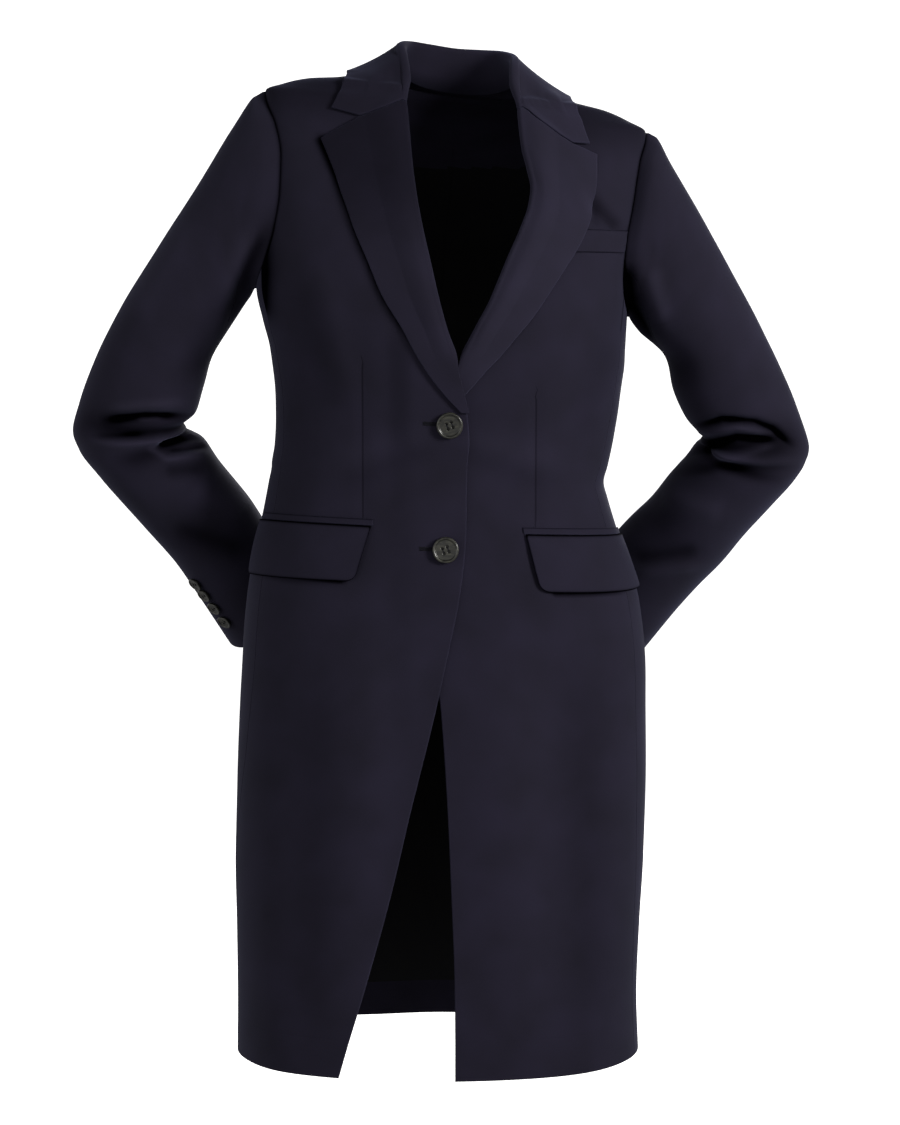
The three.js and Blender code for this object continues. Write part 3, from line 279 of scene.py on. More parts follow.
def painted_body_shade(side, p):
    """Painted shade at points that lean() has moved: the drag folds at half weight as painted shade and light, painted
    shadow beside the lapel's edge and under the flap's foot, and painted shade at the armpit and on the shoulders."""
    p = p + LEAN.fall(p[..., 2:]) * p[..., :1] * np.array([0, 0, 1])
    off, share = near_line(p, LAPEL_EDGE[side][:-2])
    deep, wide = {"right": (7.5, 5.0), "left": (3.0, 2.2)}[side]
    lapel = sunk(off, deep, wide * mix(1, 0.5, smooth(0, 0.3, share))) * (1 - smooth(0.75, 1, share))
    u = np.array([0.075, 0.2, 0.35, 0.5, 0.65, 0.8])
    foot = flap_surface(side, u, 1 + 0 * u)
    foot[:, 2] += LEAN.fall(foot[:, 2:])[:, 0] * foot[:, 0] + 0.4
    off, share = near_line(p, foot[:, [0, 2]])
    foot = sunk(off, 7.5, mix(3.0, 1.2, share)) * (1 - smooth(0.6, 1, share))
    front = smooth(0, 0.35, -p[..., 1] / 85)
    pit = sunk(near_line(p, ARMPIT_SHADE)[0], 7.5, 13) * smooth(-75, -40, -p[..., 1]) if side == "right" else 0
    # Painted shade: the shoulders are painted darker than the chest, fading in from z -80 to -20.
    return 0.5 * drape(p) + np.minimum(lapel, foot) * front + pit - 2.6 * smooth(-80, -20, p[..., 2])


def on_form(angle, z, out):
    """A form point moved out along the form's normal, with the drag folds added."""
    p = form_point(angle, z)
    return p + form_normal(angle, z) * (out + drape(p))[..., None]


def angle_of(x, z):
    """The angle at which the front of the form reaches x at level z, by halving."""
    x, z = np.broadcast_arrays(np.asarray(x, float), np.asarray(z, float))
    low, high = np.full(x.shape, -90.0), np.full(x.shape, 90.0)
    for _ in range(36):
        middle = (low + high) / 2
        short = form_point(middle, z)[..., 0] < x
        low, high = np.where(short, middle, low), np.where(short, high, middle)
    return (low + high) / 2


def clear_of_form(p, out):
    """Points pushed along the slope of share(p) = (p's share of the ellipse radius) - 1 until they
    stand `out` clear of the form."""

    def share(q):
        x = (q[..., 0] - SECTION.middle(q[..., 2])) / SECTION.half(q[..., 2])
        depth = np.where(q[..., 1] < 0, SECTION.front(q[..., 2]), SECTION.back(q[..., 2]))
        y = q[..., 1] / depth
        far = np.maximum(np.hypot(x, y), 1e-9)
        return far / (1 + SECTION.full(q[..., 2]) * (2 * x / far * y / far) ** 2) - 1

    for _ in range(6):
        slope = np.stack([share(p + e) - share(p - e) for e in np.eye(3) * 0.5], -1)
        away = share(p) / np.maximum(length_of(slope), 1e-9)
        p = p + unit(slope) * np.maximum(0, out - away)[..., None]
    return p


# Seams that neighbouring pieces share

ARMHOLE = Table(
    "turn right left z",
    [
        (0, -90, 90, -36),
        (20, -79, 82, -46),
        (45, -65, 73, -66),
        (70, -59, 70, -98),
        (92, -58.5, 69, -128),
        (116, -61, 69, -163),
        (140, -69, 72, -195),
        (158, -78, 79, -211),
        (180, -90, 90, -220),
        (202, -102, 102, -211),
        (222, -112, 112, -195),
        (248, -120, 120, -155),
        (270, -123, 123, -118),
        (295, -121, 121, -86),
        (315, -115, 115, -66),
        (340, -102, 102, -46),
        (360, -90, 90, -36),
    ],
)
SEAMS = Table(
    "z front_right back_right front_left back_left centre",
    [
        (-190, -71, -110, 73, 110, 180),
        (-250, -71, -109, 72, 109, 180),
        (-330, -68, -110, 69, 110, 180),
        (-414, -66, -115, 67, 115, 180),
        (-550, -65, -118, 67, 116, 179),
        (-650, -69, -119, 68, 116, 178),
        (-716, -76, -121, 69, 115, 177),
        (-790, -83, -125, 71, 114, 176),
        (-865, -89, -129, 73, 113, 175),
        (HEM_Z, -93, -133, 75, 112, 174),
    ],
)
LEVELS = [-236, -254, -270, -285, -302, -322, -346, -372, -400, -430]
LEVELS += [-462, -498, -552, -593, -630, -698, -780, -865, -928, HEM_Z]
FRONT_TURNS = [0, 22, 40, 54, 70, 84, 97, 110, 123, 135, 146]
UNDER_TURNS = [146, 157, 168.5, 180, 191.5, 203, 214]
BACK_TURNS = [214, 240, 260, 280, 302, 322, 342, 360]
armhole_of = {"right": ARMHOLE.right, "left": ARMHOLE.left}
sign_of = {"right": -1, "left": 1}
level_of = column(range(len(LEVELS)), LEVELS)

# Fronts, row by row from the shoulder seam to the hem: x, z of the neckline, the roll line and then the
# front edge. The rows that carry a lapel also have its outer edge, in LAPEL_EDGE.
FRONT_EDGE = {
    "right": [
        (-68, -4), (-64, -13), (-56, -25), (-46.9, -35.5), (-44.4, -57), (-42.3, -79), (-39.8, -101),
        (-36.5, -123), (-32.1, -146), (-28, -164), (-23.7, -182), (-16.2, -214), (-8.3, -243),
        (-3.6, -263), (0.5, -280.5), (5.4, -301), (9.4, -318), (11.5, -346), (10, -372), (9.3, -400),
        (9.1, -430), (7, -462), (2.3, -498), (-8.6, -552), (-17.3, -593), (-26, -630), (-42.9, -698),
        (-62, -780), (-85.1, -865), (-104, -928), (-112.2, HEM_Z),
    ],
    "left": [
        (68, -4), (67, -11), (64, -20), (58, -30), (59.2, -48), (61.2, -65), (66, -85), (69.4, -103),
        (66.8, -121), (59.5, -142), (46.2, -173.5), (29.4, -215), (16.3, -241), (9, -261), (2.5, -278),
        (-8.5, -299), (-20, -321), (-25.5, -346), (-27.5, -372), (-28.2, -400), (-28.6, -430),
        (-28.4, -462), (-26.5, -498), (-22.5, -552), (-15.6, -593), (-12.4, -630), (-8.2, -698),
        (-4.6, -780), (-1.6, -865), (-1.2, -928), (-1.2, HEM_Z),
    ],
}
FIRST_LAPEL_ROW = 3
LAPEL_EDGE = {
    "right": [
        (-127.3, -78.7), (-121, -92), (-113.6, -109), (-107.5, -126), (-101, -142), (-95, -158),
        (-88.8, -172), (-82, -186), (-69.2, -215), (-50.6, -243.5), (-38.6, -263.5), (-27.6, -281),
        (-11.5, -302), (4, -318),
    ],
    "left": [
        (132.1, -66.4), (131, -88), (128.6, -108), (124.6, -126), (119.5, -140), (115, -150),
        (109.3, -161), (95.5, -184), (72.5, -222), (56, -244), (42, -262), (27, -279), (9, -301),
        (-13, -323),
    ],
}
edge_x = {s: column(range(31), [p[0] for p in FRONT_EDGE[s]]) for s in sign_of}
edge_z = {s: column(range(31), [p[1] for p in FRONT_EDGE[s]]) for s in sign_of}
LAPEL_ROWS = range(FIRST_LAPEL_ROW, FIRST_LAPEL_ROW + len(LAPEL_EDGE["right"]))
lapel_x = {s: column(LAPEL_ROWS, [p[0] for p in LAPEL_EDGE[s]]) for s in sign_of}
lapel_z = {s: column(LAPEL_ROWS, [p[1] for p in LAPEL_EDGE[s]]) for s in sign_of}


def lap_lift(x, z):
    """How far the right front stands off the form where it laps over the left front and its lapel."""
    over = smooth(-66, -38, x)
    closed = smooth(-232, -272, z) * (1 - smooth(-606, -680, z))
    lapel = smooth(-232, -272, z) * (1 - smooth(-338, -378, z))
    return over * (closed * (CLOTH + 0.6) + lapel * (CLOTH + 1.6))


front_lift = {"right": lap_lift, "left": lambda x, z: 0 * x}


def wrap_share(z):
    return 1 - smooth(-236, -282, z)


def set_back(side, x, z):
    """The turned roll wraps the front's edge, so that edge sits back from the seen roll line."""
    return x + sign_of[side] * (ROLL + CLOTH / 2) * wrap_share(z) * smooth(-4, -30, z)


def gap_angle(width, z):
    return np.degrees(width / SECTION.half(z))


def seam_row_end(side, seam, row):
    """Angle and level of a front's outer end: on the armhole, down to its corner, then on the seam."""
    turn = column(range(len(FRONT_TURNS)), FRONT_TURNS)(row)
    corner = len(FRONT_TURNS) - 1
    hole = armhole_of[side](turn), ARMHOLE.z(turn)
    level = level_of(row - corner - 1)
    down = seam(level), level
    t = np.clip(row - corner, 0, 1)
    return mix(hole[0], down[0], t), mix(hole[1], down[1], t)


def front_surface(side, row, share):
    """Rows mix in angle and level from the front edge (share 0) to the armhole or side seam (share 1)."""
    sign = sign_of[side]
    seam = SEAMS.front_right if side == "right" else SEAMS.front_left
    x, z = edge_x[side](row), edge_z[side](row)
    first = np.where(row == 0, sign * 90.0, angle_of(set_back(side, x, z), z))
    last_angle, last_z = seam_row_end(side, seam, row)
    level = mix(z, last_z, share)
    at_seam = smooth(9.9, 10, row) * gap_angle(JOIN, level) * share**40
    at_shoulder = np.maximum(0, 1 - row * 6) * np.degrees(JOIN / SECTION.front(level))
    angle = mix(first, last_angle, share) - sign * (at_seam + at_shoulder)
    lift = front_lift[side](form_point(angle, level)[..., 0], level)
    return lean(on_form(angle, level, lift + CLOTH))


def side_surface(side, row, share):
    """The panel under the arm: row 0 is the armhole's lowest part, the rest run between the side seams."""
    sign = sign_of[side]
    seams = (
        (SEAMS.front_right, SEAMS.back_right) if side == "right" else (SEAMS.front_left, SEAMS.back_left)
    )
    turn = mix(UNDER_TURNS[0], UNDER_TURNS[-1], share)
    level = level_of(row - 1)
    t = np.clip(row, 0, 1)
    z = mix(ARMHOLE.z(turn), level, t)
    angle = mix(armhole_of[side](turn), mix(seams[0](level), seams[1](level), share), t)
    edge = (1 - share) ** 40 - share**40
    return lean(on_form(angle + sign * edge * gap_angle(JOIN, z), z, CLOTH + 0 * angle))


BACK_CENTRES = [-19, -32, -48, -68, -92, -120, -150, -184]
NECK_SHARE = 3 / 9  # share of the back's top row that is neckline
BACK_FADE = column(range(6), [1, 0.7, 0.42, 0.2, 0.06, 0])


def back_surface(side, row, share):
    """Rows run from the centre back seam to the armhole or side seam; the top rows bend up to the
    neckline and the shoulder seam."""
    sign = sign_of[side]
    seam = SEAMS.back_right if side == "right" else SEAMS.back_left
    count = len(BACK_CENTRES)
    turns = column(range(count), BACK_TURNS[::-1])
    centres = column(range(count), BACK_CENTRES)

    def plain(r):
        upper, level = np.minimum(r, count - 1), level_of(np.maximum(r - count, 0))
        t = np.clip(r - count + 1, 0, 1)
        centre_z = mix(centres(upper), level, t)
        middle = SEAMS.centre(centre_z) - (360 if sign < 0 else 0)
        turn = turns(upper)
        end = mix(armhole_of[side](turn), seam(level), t), mix(ARMHOLE.z(turn), level, t)
        return mix(middle, end[0], share), mix(centre_z, end[1], share)

    angle, level = plain(row)
    top_angle, top_level = plain(0 * row)
    t = np.clip(share / NECK_SHARE, 0, 1)
    s = np.clip((share - NECK_SHARE) / (1 - NECK_SHARE), 0, 1)
    goal_angle = mix(sign * 180.0, sign * 90.0, t)
    goal_level = np.where(
        share < NECK_SHARE,
        mix(BACK_CENTRES[0], NECK_SEAM_Z, t**1.6),
        mix(NECK_SEAM_Z, ARMHOLE.z(0.0), s),
    )
    fade = BACK_FADE(row)
    angle = angle + (goal_angle - top_angle) * fade
    level = level + (goal_level - top_level) * fade
    angle = angle - sign * (1 - share) ** 40 * np.degrees(JOIN / SECTION.back(level))
    angle = angle + sign * share**40 * smooth(count - 1.1, count - 1, row) * gap_angle(JOIN, level)
    on_shoulder = smooth(NECK_SHARE - 0.01, NECK_SHARE, share) * np.maximum(0, 1 - row * 6)
    angle = angle + sign * on_shoulder * np.degrees(JOIN / SECTION.back(level))
    return lean(on_form(angle, level, CLOTH + 0 * angle))


# Sleeves

ARM = {
    "right": Table(
        "row out_x out_z in_x in_z y deep",
        [
            (1, -194.6, -20.2, -197, -206.5, 6, 62),
            (2, -217.2, -51.7, -198.2, -209, 8, 60),
            (3, -248.8, -102.6, -200.3, -213, 10, 57),
            (4, -287.5, -161.5, -206, -221, 13, 54),
            (5, -327.8, -223.8, -234.3, -267.7, 20, 53),
            (6, -353.8, -272.9, -247.9, -301.4, 28, 53),
            (7, -370.9, -315.5, -256.6, -327.3, 35, 53),
            (8, -378.7, -344.4, -267, -340.4, 40, 53),
            (9, -373.4, -362.4, -264.3, -346.6, 43, 52),
            (10, -353.7, -390.7, -249.1, -356.9, 50, 51),
            (11, -313.1, -442, -236.1, -377.5, 66, 50),
            (12, -283.2, -480.3, -205.2, -419.6, 86, 48),
            (13, -266.5, -508.2, -192.1, -443, 100, 47),
            (14, -248.6, -539.4, -174.9, -474.1, 116, 46),
            (15, -232.3, -568.6, -159.6, -505.6, 133, 45),
        ],
    ),
    "left": Table(
        "row out_x out_z in_x in_z y deep",
        [
            (1, 192.5, -58.5, 168.8, -233.8, 6, 62),
            (2, 208.3, -85.3, 170, -236, 8, 60),
            (3, 237, -133.5, 172.6, -240, 10, 57),
            (4, 266, -185.8, 179.5, -248.5, 13, 54),
            (5, 291.5, -230.6, 201.2, -269.2, 20, 53),
            (6, 317.3, -279.8, 212.3, -303.3, 28, 53),
            (7, 335.2, -319.4, 225.8, -331.3, 35, 53),
            (8, 349.4, -361.4, 241.4, -352.4, 42, 53),
            (9, 346.4, -374.5, 240.7, -358.6, 45, 52),
            (10, 337.7, -390.7, 235.2, -364.9, 50, 51),
            (11, 314.3, -420.5, 225.1, -377.5, 60, 50),
            (12, 290.7, -449.6, 212.1, -393.3, 72, 49),
            (13, 269.4, -479.4, 196.3, -415.7, 88, 48),
            (14, 247.5, -504.3, 175.1, -438.1, 102, 47),
            (15, 227.4, -529.4, 153.7, -463.9, 116, 46),
            (16, 194.5, -574.4, 120.2, -509.2, 138, 45),
        ],
    ),
}
# Folds of a sleeve: row of the fold's middle, rows it climbs over 90 degrees of turn, turn of its middle,
# half its length in degrees, half its width in rows, depth inwards.
SLEEVE_FOLDS = {
    "right": [
        (7.55, 0.25, 115, 78, 0.42, 5),
        (8.15, 0.2, 118, 60, 0.3, -2.5),
        (9.05, -0.5, 125, 55, 0.5, 4),
        (5.2, 0, 165, 40, 0.5, 2.5),
    ],
    "left": [
        (7.75, 0.25, 112, 78, 0.42, 5),
        (8.35, 0.2, 112, 60, 0.3, -2.5),
        (9.2, -0.4, 118, 60, 0.5, 4),
        (5.4, 0, 165, 40, 0.5, 2.5),
    ],
}
# Creases of the sleeves, drawn along lines as DRAG_FOLDS are: sharper at the bent elbow, where the
# cloth is squeezed, and soft towards the armhole and the cuff.
SLEEVE_CREASES = {
    "right": [
        (-1, 4.6, -7.0, [(-344, -333), (-302, -329), (-262, -330)]),
        (-1, 5, 2.0, [(-338, -322), (-302, -318), (-266, -316)]),
        (-1, 2.0, 2.6, [(-311, -333), (-284, -332)]),
        (-1, 3.0, -2.4, [(-356, -350), (-329, -350), (-303, -348)]),
        (-1, 3.8, -5.5, [(-245, -349), (-268, -354), (-290, -358)]),
        (-1, 3.8, 3.0, [(-286, -350), (-297, -362), (-283, -372), (-250, -368)]),
        (-1, 2.8, -3.4, [(-279, -365), (-245, -361)]),
        (-1, 7, -2.8, [(-286, -385), (-246, -382)]),
        (-1, 12, 2.4, [(-262, -402), (-211, -428)]),
        (-1, 13, -3.4, [(-282, -442), (-244, -453), (-203, -467)]),
        (-1, 8, -3.6, [(-182, -150), (-207, -206), (-220, -240)]),
        (-1, 9, 2.4, [(-196, -150), (-226, -218)]),
        (-1, 16, 1.6, [(-255, -135), (-314, -235)]),
        (1, 7, -4.5, [(-352, -346), (-300, -338), (-262, -346)]),
        (1, 6, -3.5, [(-330, -372), (-280, -362), (-246, -366)]),
        (1, 7, 2.4, [(-346, -360), (-300, -352), (-262, -356)]),
        (1, 9, -3.4, [(-186, -150), (-216, -214), (-236, -250)]),
        (1, 13, -2.8, [(-284, -430), (-240, -446), (-206, -462)]),
    ],
    "left": [
        (-1, 3.4, -6.0, [(236, -339), (256, -332), (290, -334), (310, -341), (330, -357)]),
        (-1, 4.8, -2.8, [(234, -339), (275, -333)]),
        (-1, 3.4, 2.8, [(234, -349), (271, -340), (303, -346)]),
        (-1, 3.8, -5.2, [(242, -359), (271, -350), (312, -353)]),
        (-1, 5.5, -5.5, [(220, -367), (252, -361)]),
        (-1, 4.6, 3.0, [(248, -374), (281, -367), (312, -357)]),
        (-1, 6.5, -3.4, [(222, -389), (254, -380), (330, -379)]),
        (-1, 9, -3.2, [(170, -477), (240, -466)]),
        (-1, 6, 1.8, [(180, -491), (244, -480)]),
        (-1, 14, 2.2, [(205, -410), (264, -427)]),
        (-1, 11, -6.5, [(160, -180), (167, -225), (188, -272)]),
        (-1, 9, 2.6, [(184, -184), (200, -238)]),
        (-1, 16, 1.5, [(255, -149), (307, -255)]),
        (1, 7, -4.5, [(240, -350), (282, -344), (326, -356)]),
        (1, 6, -3.5, [(232, -374), (270, -368), (312, -378)]),
        (1, 7, 2.4, [(238, -362), (282, -356), (320, -366)]),
        (1, 9, -3.4, [(170, -196), (196, -240), (214, -272)]),
        (1, 13, -2.8, [(182, -452), (220, -462), (248, -474)]),
    ],
}
# The left forearm is turned further in, so its seams and cuff buttons face more to the back.
SLEEVE_SEAMS = Table(
    "row front_right back_right front_left back_left",
    [
        (0, 123, -80, 123, -80),
        (3, 138, -74, 138, -76),
        (5, 172, -62, 170, -70),
        (7, 212, -40, 203, -64),
        (9, 216, -20, 203, -60),
        (11, 214, -6, 196, -60),
        (16, 211, 4, 188, -62),
    ],
)


class Sleeve:
    """One sleeve's outer surface: a run of ellipses from the armhole to the cuff."""

    def __init__(self, side):
        self.side, self.sign = side, sign_of[side]
        top, under = self.rim(np.array(0.0)), self.rim(np.array(180.0))
        arm = ARM[side]
        start = [0, top[0], top[2], under[0], under[2], 6, 63]
        self.arm = Table(" ".join(arm.names), [start, *arm.rows.tolist()])
        self.last = arm.rows[-1, 0]

    def rim(self, turn):
        """The armhole, sewn to the body's edge."""
        at = np.mod(turn, 360)
        fold = bell(at, 180, 34)  # under the arm the sleeve turns sharply off the body
        angle, z = armhole_of[self.side](at), ARMHOLE.z(at)
        p = lean(on_form(angle, z, CLOTH * (1 - 0.5 * fold)))
        ahead, behind = np.minimum(at + 1, 360), np.maximum(at - 1, 0)
        along = form_point(armhole_of[self.side](ahead), ARMHOLE.z(ahead)) - form_point(
            armhole_of[self.side](behind), ARMHOLE.z(behind)
        )
        away = unit(np.cross(form_normal(angle, z), along))
        return p + away * (self.sign * (0.15 * fold - 0.1))[..., None]

    def centre(self, v):
        a = self.arm
        return np.stack([(a.out_x(v) + a.in_x(v)) / 2, a.y(v), (a.out_z(v) + a.in_z(v)) / 2], -1)

    def plain(self, turn, v):
        """centre + half cos(turn) + deep sin(turn): half spans the arm as seen from the front, and deep
        stands square to it, upright near the armhole."""
        a = self.arm
        half = np.stack([(a.out_x(v) - a.in_x(v)) / 2, 0 * v, (a.out_z(v) - a.in_z(v)) / 2], -1)
        along = unit(self.centre(np.minimum(v + 0.3, self.last)) - self.centre(np.maximum(v - 0.3, 0)))
        deep = unit(np.cross(half, along))
        deep = np.where(deep[..., 1:2] > 0, -deep, deep)
        deep = unit(mix(np.array([0, -1.0, 0]), deep, smooth(0, 4, v)[..., None]))
        t = np.radians(turn)[..., None]
        return self.centre(v) + half * np.cos(t) + deep * np.sin(t) * a.deep(v)[..., None]

    def smooth_point(self, turn, v):
        """The sleeve without its folds."""
        gap = self.rim(turn) - self.plain(turn, 0 * v)
        return self.plain(turn, v) + gap * (np.clip(1 - v / 4, 0, 1) ** 1.5)[..., None]

    def relief(self, turn, v):
        """Height of the folds and creases: bells across the rows, and ridges along drawn lines."""
        p = self.smooth_point(turn, v)
        high = ridges(p, SLEEVE_CREASES[self.side], (p - self.centre(v))[..., 1] / self.arm.deep(v))
        for row, slope, at, reach, wide, deep in SLEEVE_FOLDS[self.side]:
            line = row + slope * (turn - at) / 90
            high = high - deep * bell(v, line, wide) * np.exp(-((turn_gap(turn, at) / reach) ** 4))
        return high

    def point(self, turn, v):
        turn, v = np.broadcast_arrays(np.asarray(turn, float), np.asarray(v, float))
        p = self.smooth_point(turn, v)
        return p + unit(p - self.centre(v)) * self.relief(turn, v)[..., None]

    def turn_at(self, half, v, share):
        """The top half runs from the back seam over the outside to the front seam, the under half on."""
        gap = np.degrees(JOIN / 50) * ((1 - share) ** 40 - share**40)
        front, back = (getattr(SLEEVE_SEAMS, f"{seam}_{self.side}")(v) for seam in ("front", "back"))
        turn = mix(back, front, share) if half == "top" else mix(front, back + 360, share)
        return turn + gap

    def half(self, half, v, share):
        return self.point(self.turn_at(half, v, share), v)


# Lapels and collar

NOTCH = {"right": (-91.4, -54.2, 0.56), "left": (109.1, -58.4, 0.69)}  # x, z, share along the top edge
WRAP = 11.0  # length of the facing inside the roll
ARC_DEGREES = np.array([180, 165, 150, 130, 110, 90, 70, 52, 35, 17])
FALL_SHARES = np.concatenate([[0, 0.02, 0.045], np.linspace(0.07, 0.93, 34), [0.955, 0.975, 0.988, 0.996, 1]])


def stand_off(side, z):
    """Air under the lapel: on the left it clears the chest welt higher up."""
    return 1.2 + 0 * z if side == "right" else mix(2.7, 0.8, smooth(-176, -236, z))


def lapel_line(side, roll_x, roll_z, path, wrap):
    """The middle of the cloth along each row: an inside leg, a turn round the roll line with radius
    ROLL, then on over the front at the stand-off height to the outer edge."""
    sign = sign_of[side]
    roll_x, roll_z, wrap = (np.asarray(v, float)[:, None] for v in (roll_x, roll_z, wrap))
    back_x = set_back(side, roll_x, roll_z)
    angle = angle_of(back_x, roll_z)
    lift = front_lift[side](back_x, roll_z)
    n = form_normal(angle, roll_z)
    edge = on_form(angle, roll_z, lift + CLOTH / 2)
    outwards = on_form(angle_of(back_x + sign * 2, roll_z), roll_z, lift + CLOTH / 2)
    over = unit(edge - outwards)
    t = np.radians(ARC_DEGREES * wrap)[..., None]
    spread = (0.9 * (1 - wrap) * ARC_DEGREES / 180)[..., None]
    turned = edge + n * ROLL * np.cos(t) + over * (ROLL * np.sin(t) + spread)
    end = np.radians(180 * wrap)[..., None]
    leg = over * np.cos(end) - n * np.sin(end)
    reach = mix(0.8, WRAP, 1 - smooth(-196, -242, roll_z))[..., None]
    inside = turned[:, :1] + leg * reach * np.array([1, 0.6, 0.25])[None, :, None]
    x, z = path(FALL_SHARES[None, :])
    near_x = path(np.array([[0.24]]))[0]
    x = np.where(FALL_SHARES < 0.24, mix(back_x, near_x, FALL_SHARES / 0.24), x)
    off = mix(ROLL - CLOTH, stand_off(side, z), smooth(0, 0.35, FALL_SHARES))
    belly = 2.2 * np.sin(np.pi * np.clip(FALL_SHARES / 0.5, 0, 1)) * wrap
    top = on_form(angle_of(x, z), z, front_lift[side](x, z) + CLOTH * 1.5 + off + belly)
    return np.concatenate([inside, turned, top], 1)


def lapel_surface(side, rows):
    corner_x, corner_z, corner = NOTCH[side]
    first = FIRST_LAPEL_ROW
    roll_x, roll_z = edge_x[side](rows), edge_z[side](rows)
    fade = (np.maximum(0, 1 - (rows - first) / 4) ** 2)[:, None]
    x0, z0, x1, z1 = (t[side](first) for t in (edge_x, edge_z, lapel_x, lapel_z))

    def path(share):
        x = mix(roll_x[:, None], lapel_x[side](rows)[:, None], share)
        z = mix(roll_z[:, None], lapel_z[side](rows)[:, None], share)
        part = np.where(share < corner, share / corner, (1 - share) / (1 - corner)) * fade
        return x + (corner_x - mix(x0, x1, corner)) * part, z + (corner_z - mix(z0, z1, corner)) * part

    return lean(lapel_line(side, roll_x, roll_z, path, wrap_share(roll_z)))


# Ribs of the collar round the neck: foot of the stand, crest of the turn, rim of the fall.
COLLAR_RIBS = np.array(
    [
        [(-51, -26, -20), (-47.3, -31, -9), (-110.5, -38, -31)],
        [(-60, -12, -8), (-49, -13, 11), (-105, -16, -17)],
        [(-65.5, 8, -1.5), (-51, 9, 24), (-102, 12, -14)],
        [(-55, 36, -5), (-43, 34, 28), (-83, 52, -22)],
        [(-32, 52, -13), (-25, 47, 28), (-46, 72, -34)],
        [(0, 57, -15.5), (0, 51, 27), (0, 77, -38)],
        [(32, 52, -13), (25, 47, 28), (46, 72, -34)],
        [(55, 36, -5), (43, 34, 28), (84, 52, -20)],
        [(65.5, 8, -1.5), (54, 9, 24), (107, 12, -12)],
        [(62, -10, -7), (55, -11, 14), (111, -14, -15)],
        [(57.5, -22, -17), (56, -27, -5), (116.5, -33, -30)],
    ],
    float,
)
COLLAR_TIP = {"right": (-118.2, -48.4), "left": (125.5, -56.4)}
COLLAR_OFF = CLOTH * 1.5 + 1.2


def collar_rib(seam, crest, edge):
    """Stand, turn and fall: the fall is a quadratic curve from the turn to the rim, kept clear of the form."""
    up = unit(crest - seam)
    flat = edge - crest
    out = unit(flat - up * (flat @ up))
    centre = crest - up * ROLL
    t = np.radians(ARC_DEGREES)[:, None]
    turned = centre + out * ROLL * np.cos(t) + up * ROLL * np.sin(t)
    stand = mix(turned[:1], seam, np.array([1, 0.6, 0.25])[:, None])
    start = centre + out * ROLL
    handle = start - up * 9
    rim = clear_of_form(edge[None], COLLAR_OFF)[0]
    s = FALL_SHARES[:, None]
    fall = (1 - s) ** 2 * start + 2 * (1 - s) * s * mix(handle, rim, 0.32) + s * s * rim
    return np.concatenate([stand, turned, clear_of_form(fall, COLLAR_OFF)])


def gorge_rib(side):
    """The rib that lies along the lapel's top edge to the notch, and then runs out to the collar's tip."""
    roll_x, roll_z = edge_x[side](FIRST_LAPEL_ROW), edge_z[side](FIRST_LAPEL_ROW) + SEAM + 0.5
    corner_x, corner_z = NOTCH[side][0], NOTCH[side][1] + SEAM + 0.6
    tip_x, tip_z = COLLAR_TIP[side]
    turn = 0.6

    def path(share):
        a, b = np.clip(share / turn, 0, 1), np.clip((share - turn) / (1 - turn), 0, 1)
        return mix(mix(roll_x, corner_x, a), tip_x, b), mix(mix(roll_z, corner_z, a), tip_z, b)

    return lapel_line(side, [roll_x], [roll_z], path, [1.0])[0]


def through(keys, at):
    """A Catmull-Rom curve through a list of points or rows of points."""
    i = np.minimum(np.floor(at).astype(int), len(keys) - 2)
    t = (at - i)[:, None, None]
    a, b, c, d = (keys[np.clip(i + k, 0, len(keys) - 1)] for k in (-1, 0, 1, 2))
    return b + 0.5 * t * (c - a + t * (2 * a - 5 * b + 4 * c - d + t * (3 * (b - c) + d - a)))


def collar_surface(at):
    ribs = [collar_rib(*r) for r in COLLAR_RIBS]
    keys = np.stack([gorge_rib("right"), *ribs, gorge_rib("left")])
    p = through(keys, at)
    fall = len(keys[0]) - len(FALL_SHARES) + 1
    p[:, fall:] = clear_of_form(p[:, fall:], COLLAR_OFF)
    return lean(p)


# Pockets

FLAPS = {
    "right": dict(ends=(-21.6, -79), foot_ends=(-25.8, -79), top=(-431.5, -438), foot=(-485, -491)),
    "left": dict(ends=(27.4, 87), foot_ends=(28.6, 87), top=(-433, -437.5), foot=(-488, -489.5)),
}
FLAP_LENGTH = 150.0
FLAP_WALL, FLAP_STAND, FLAP_CORNER, FLAP_BELLY = 2.6, 0.6, 9.0, 1.6
JET_HEIGHT, JET_WALL, JET_STAND = 6.0, 1.3, 0.3
WELT = {"top": ((113.5, -138.3), (161, -133.6)), "foot": ((103.5, -161), (157, -156))}
WELT_WALL, WELT_STAND = 1.6, 0.45


def rounded_shares(u, v, width, height, radius, corners):
    """Moves grid shares (u across, v down) near the named corners in to a quarter circle: inside each
    corner square, p and q (1 at the corner) become p sqrt(1 - qq/2) and q sqrt(1 - pp/2)."""
    u, v = u.copy(), v.copy()
    for right, bottom in corners:
        a = (1 - u if right else u) * width
        b = (1 - v if bottom else v) * height
        near = (a < radius) & (b < radius)
        p, q = 1 - np.clip(a / radius, 0, 1), 1 - np.clip(b / radius, 0, 1)
        a2 = radius * (1 - p * np.sqrt(1 - q * q / 2))
        b2 = radius * (1 - q * np.sqrt(1 - p * p / 2))
        u = np.where(near, 1 - a2 / width if right else a2 / width, u)
        v = np.where(near, 1 - b2 / height if bottom else b2 / height, v)
    return u, v


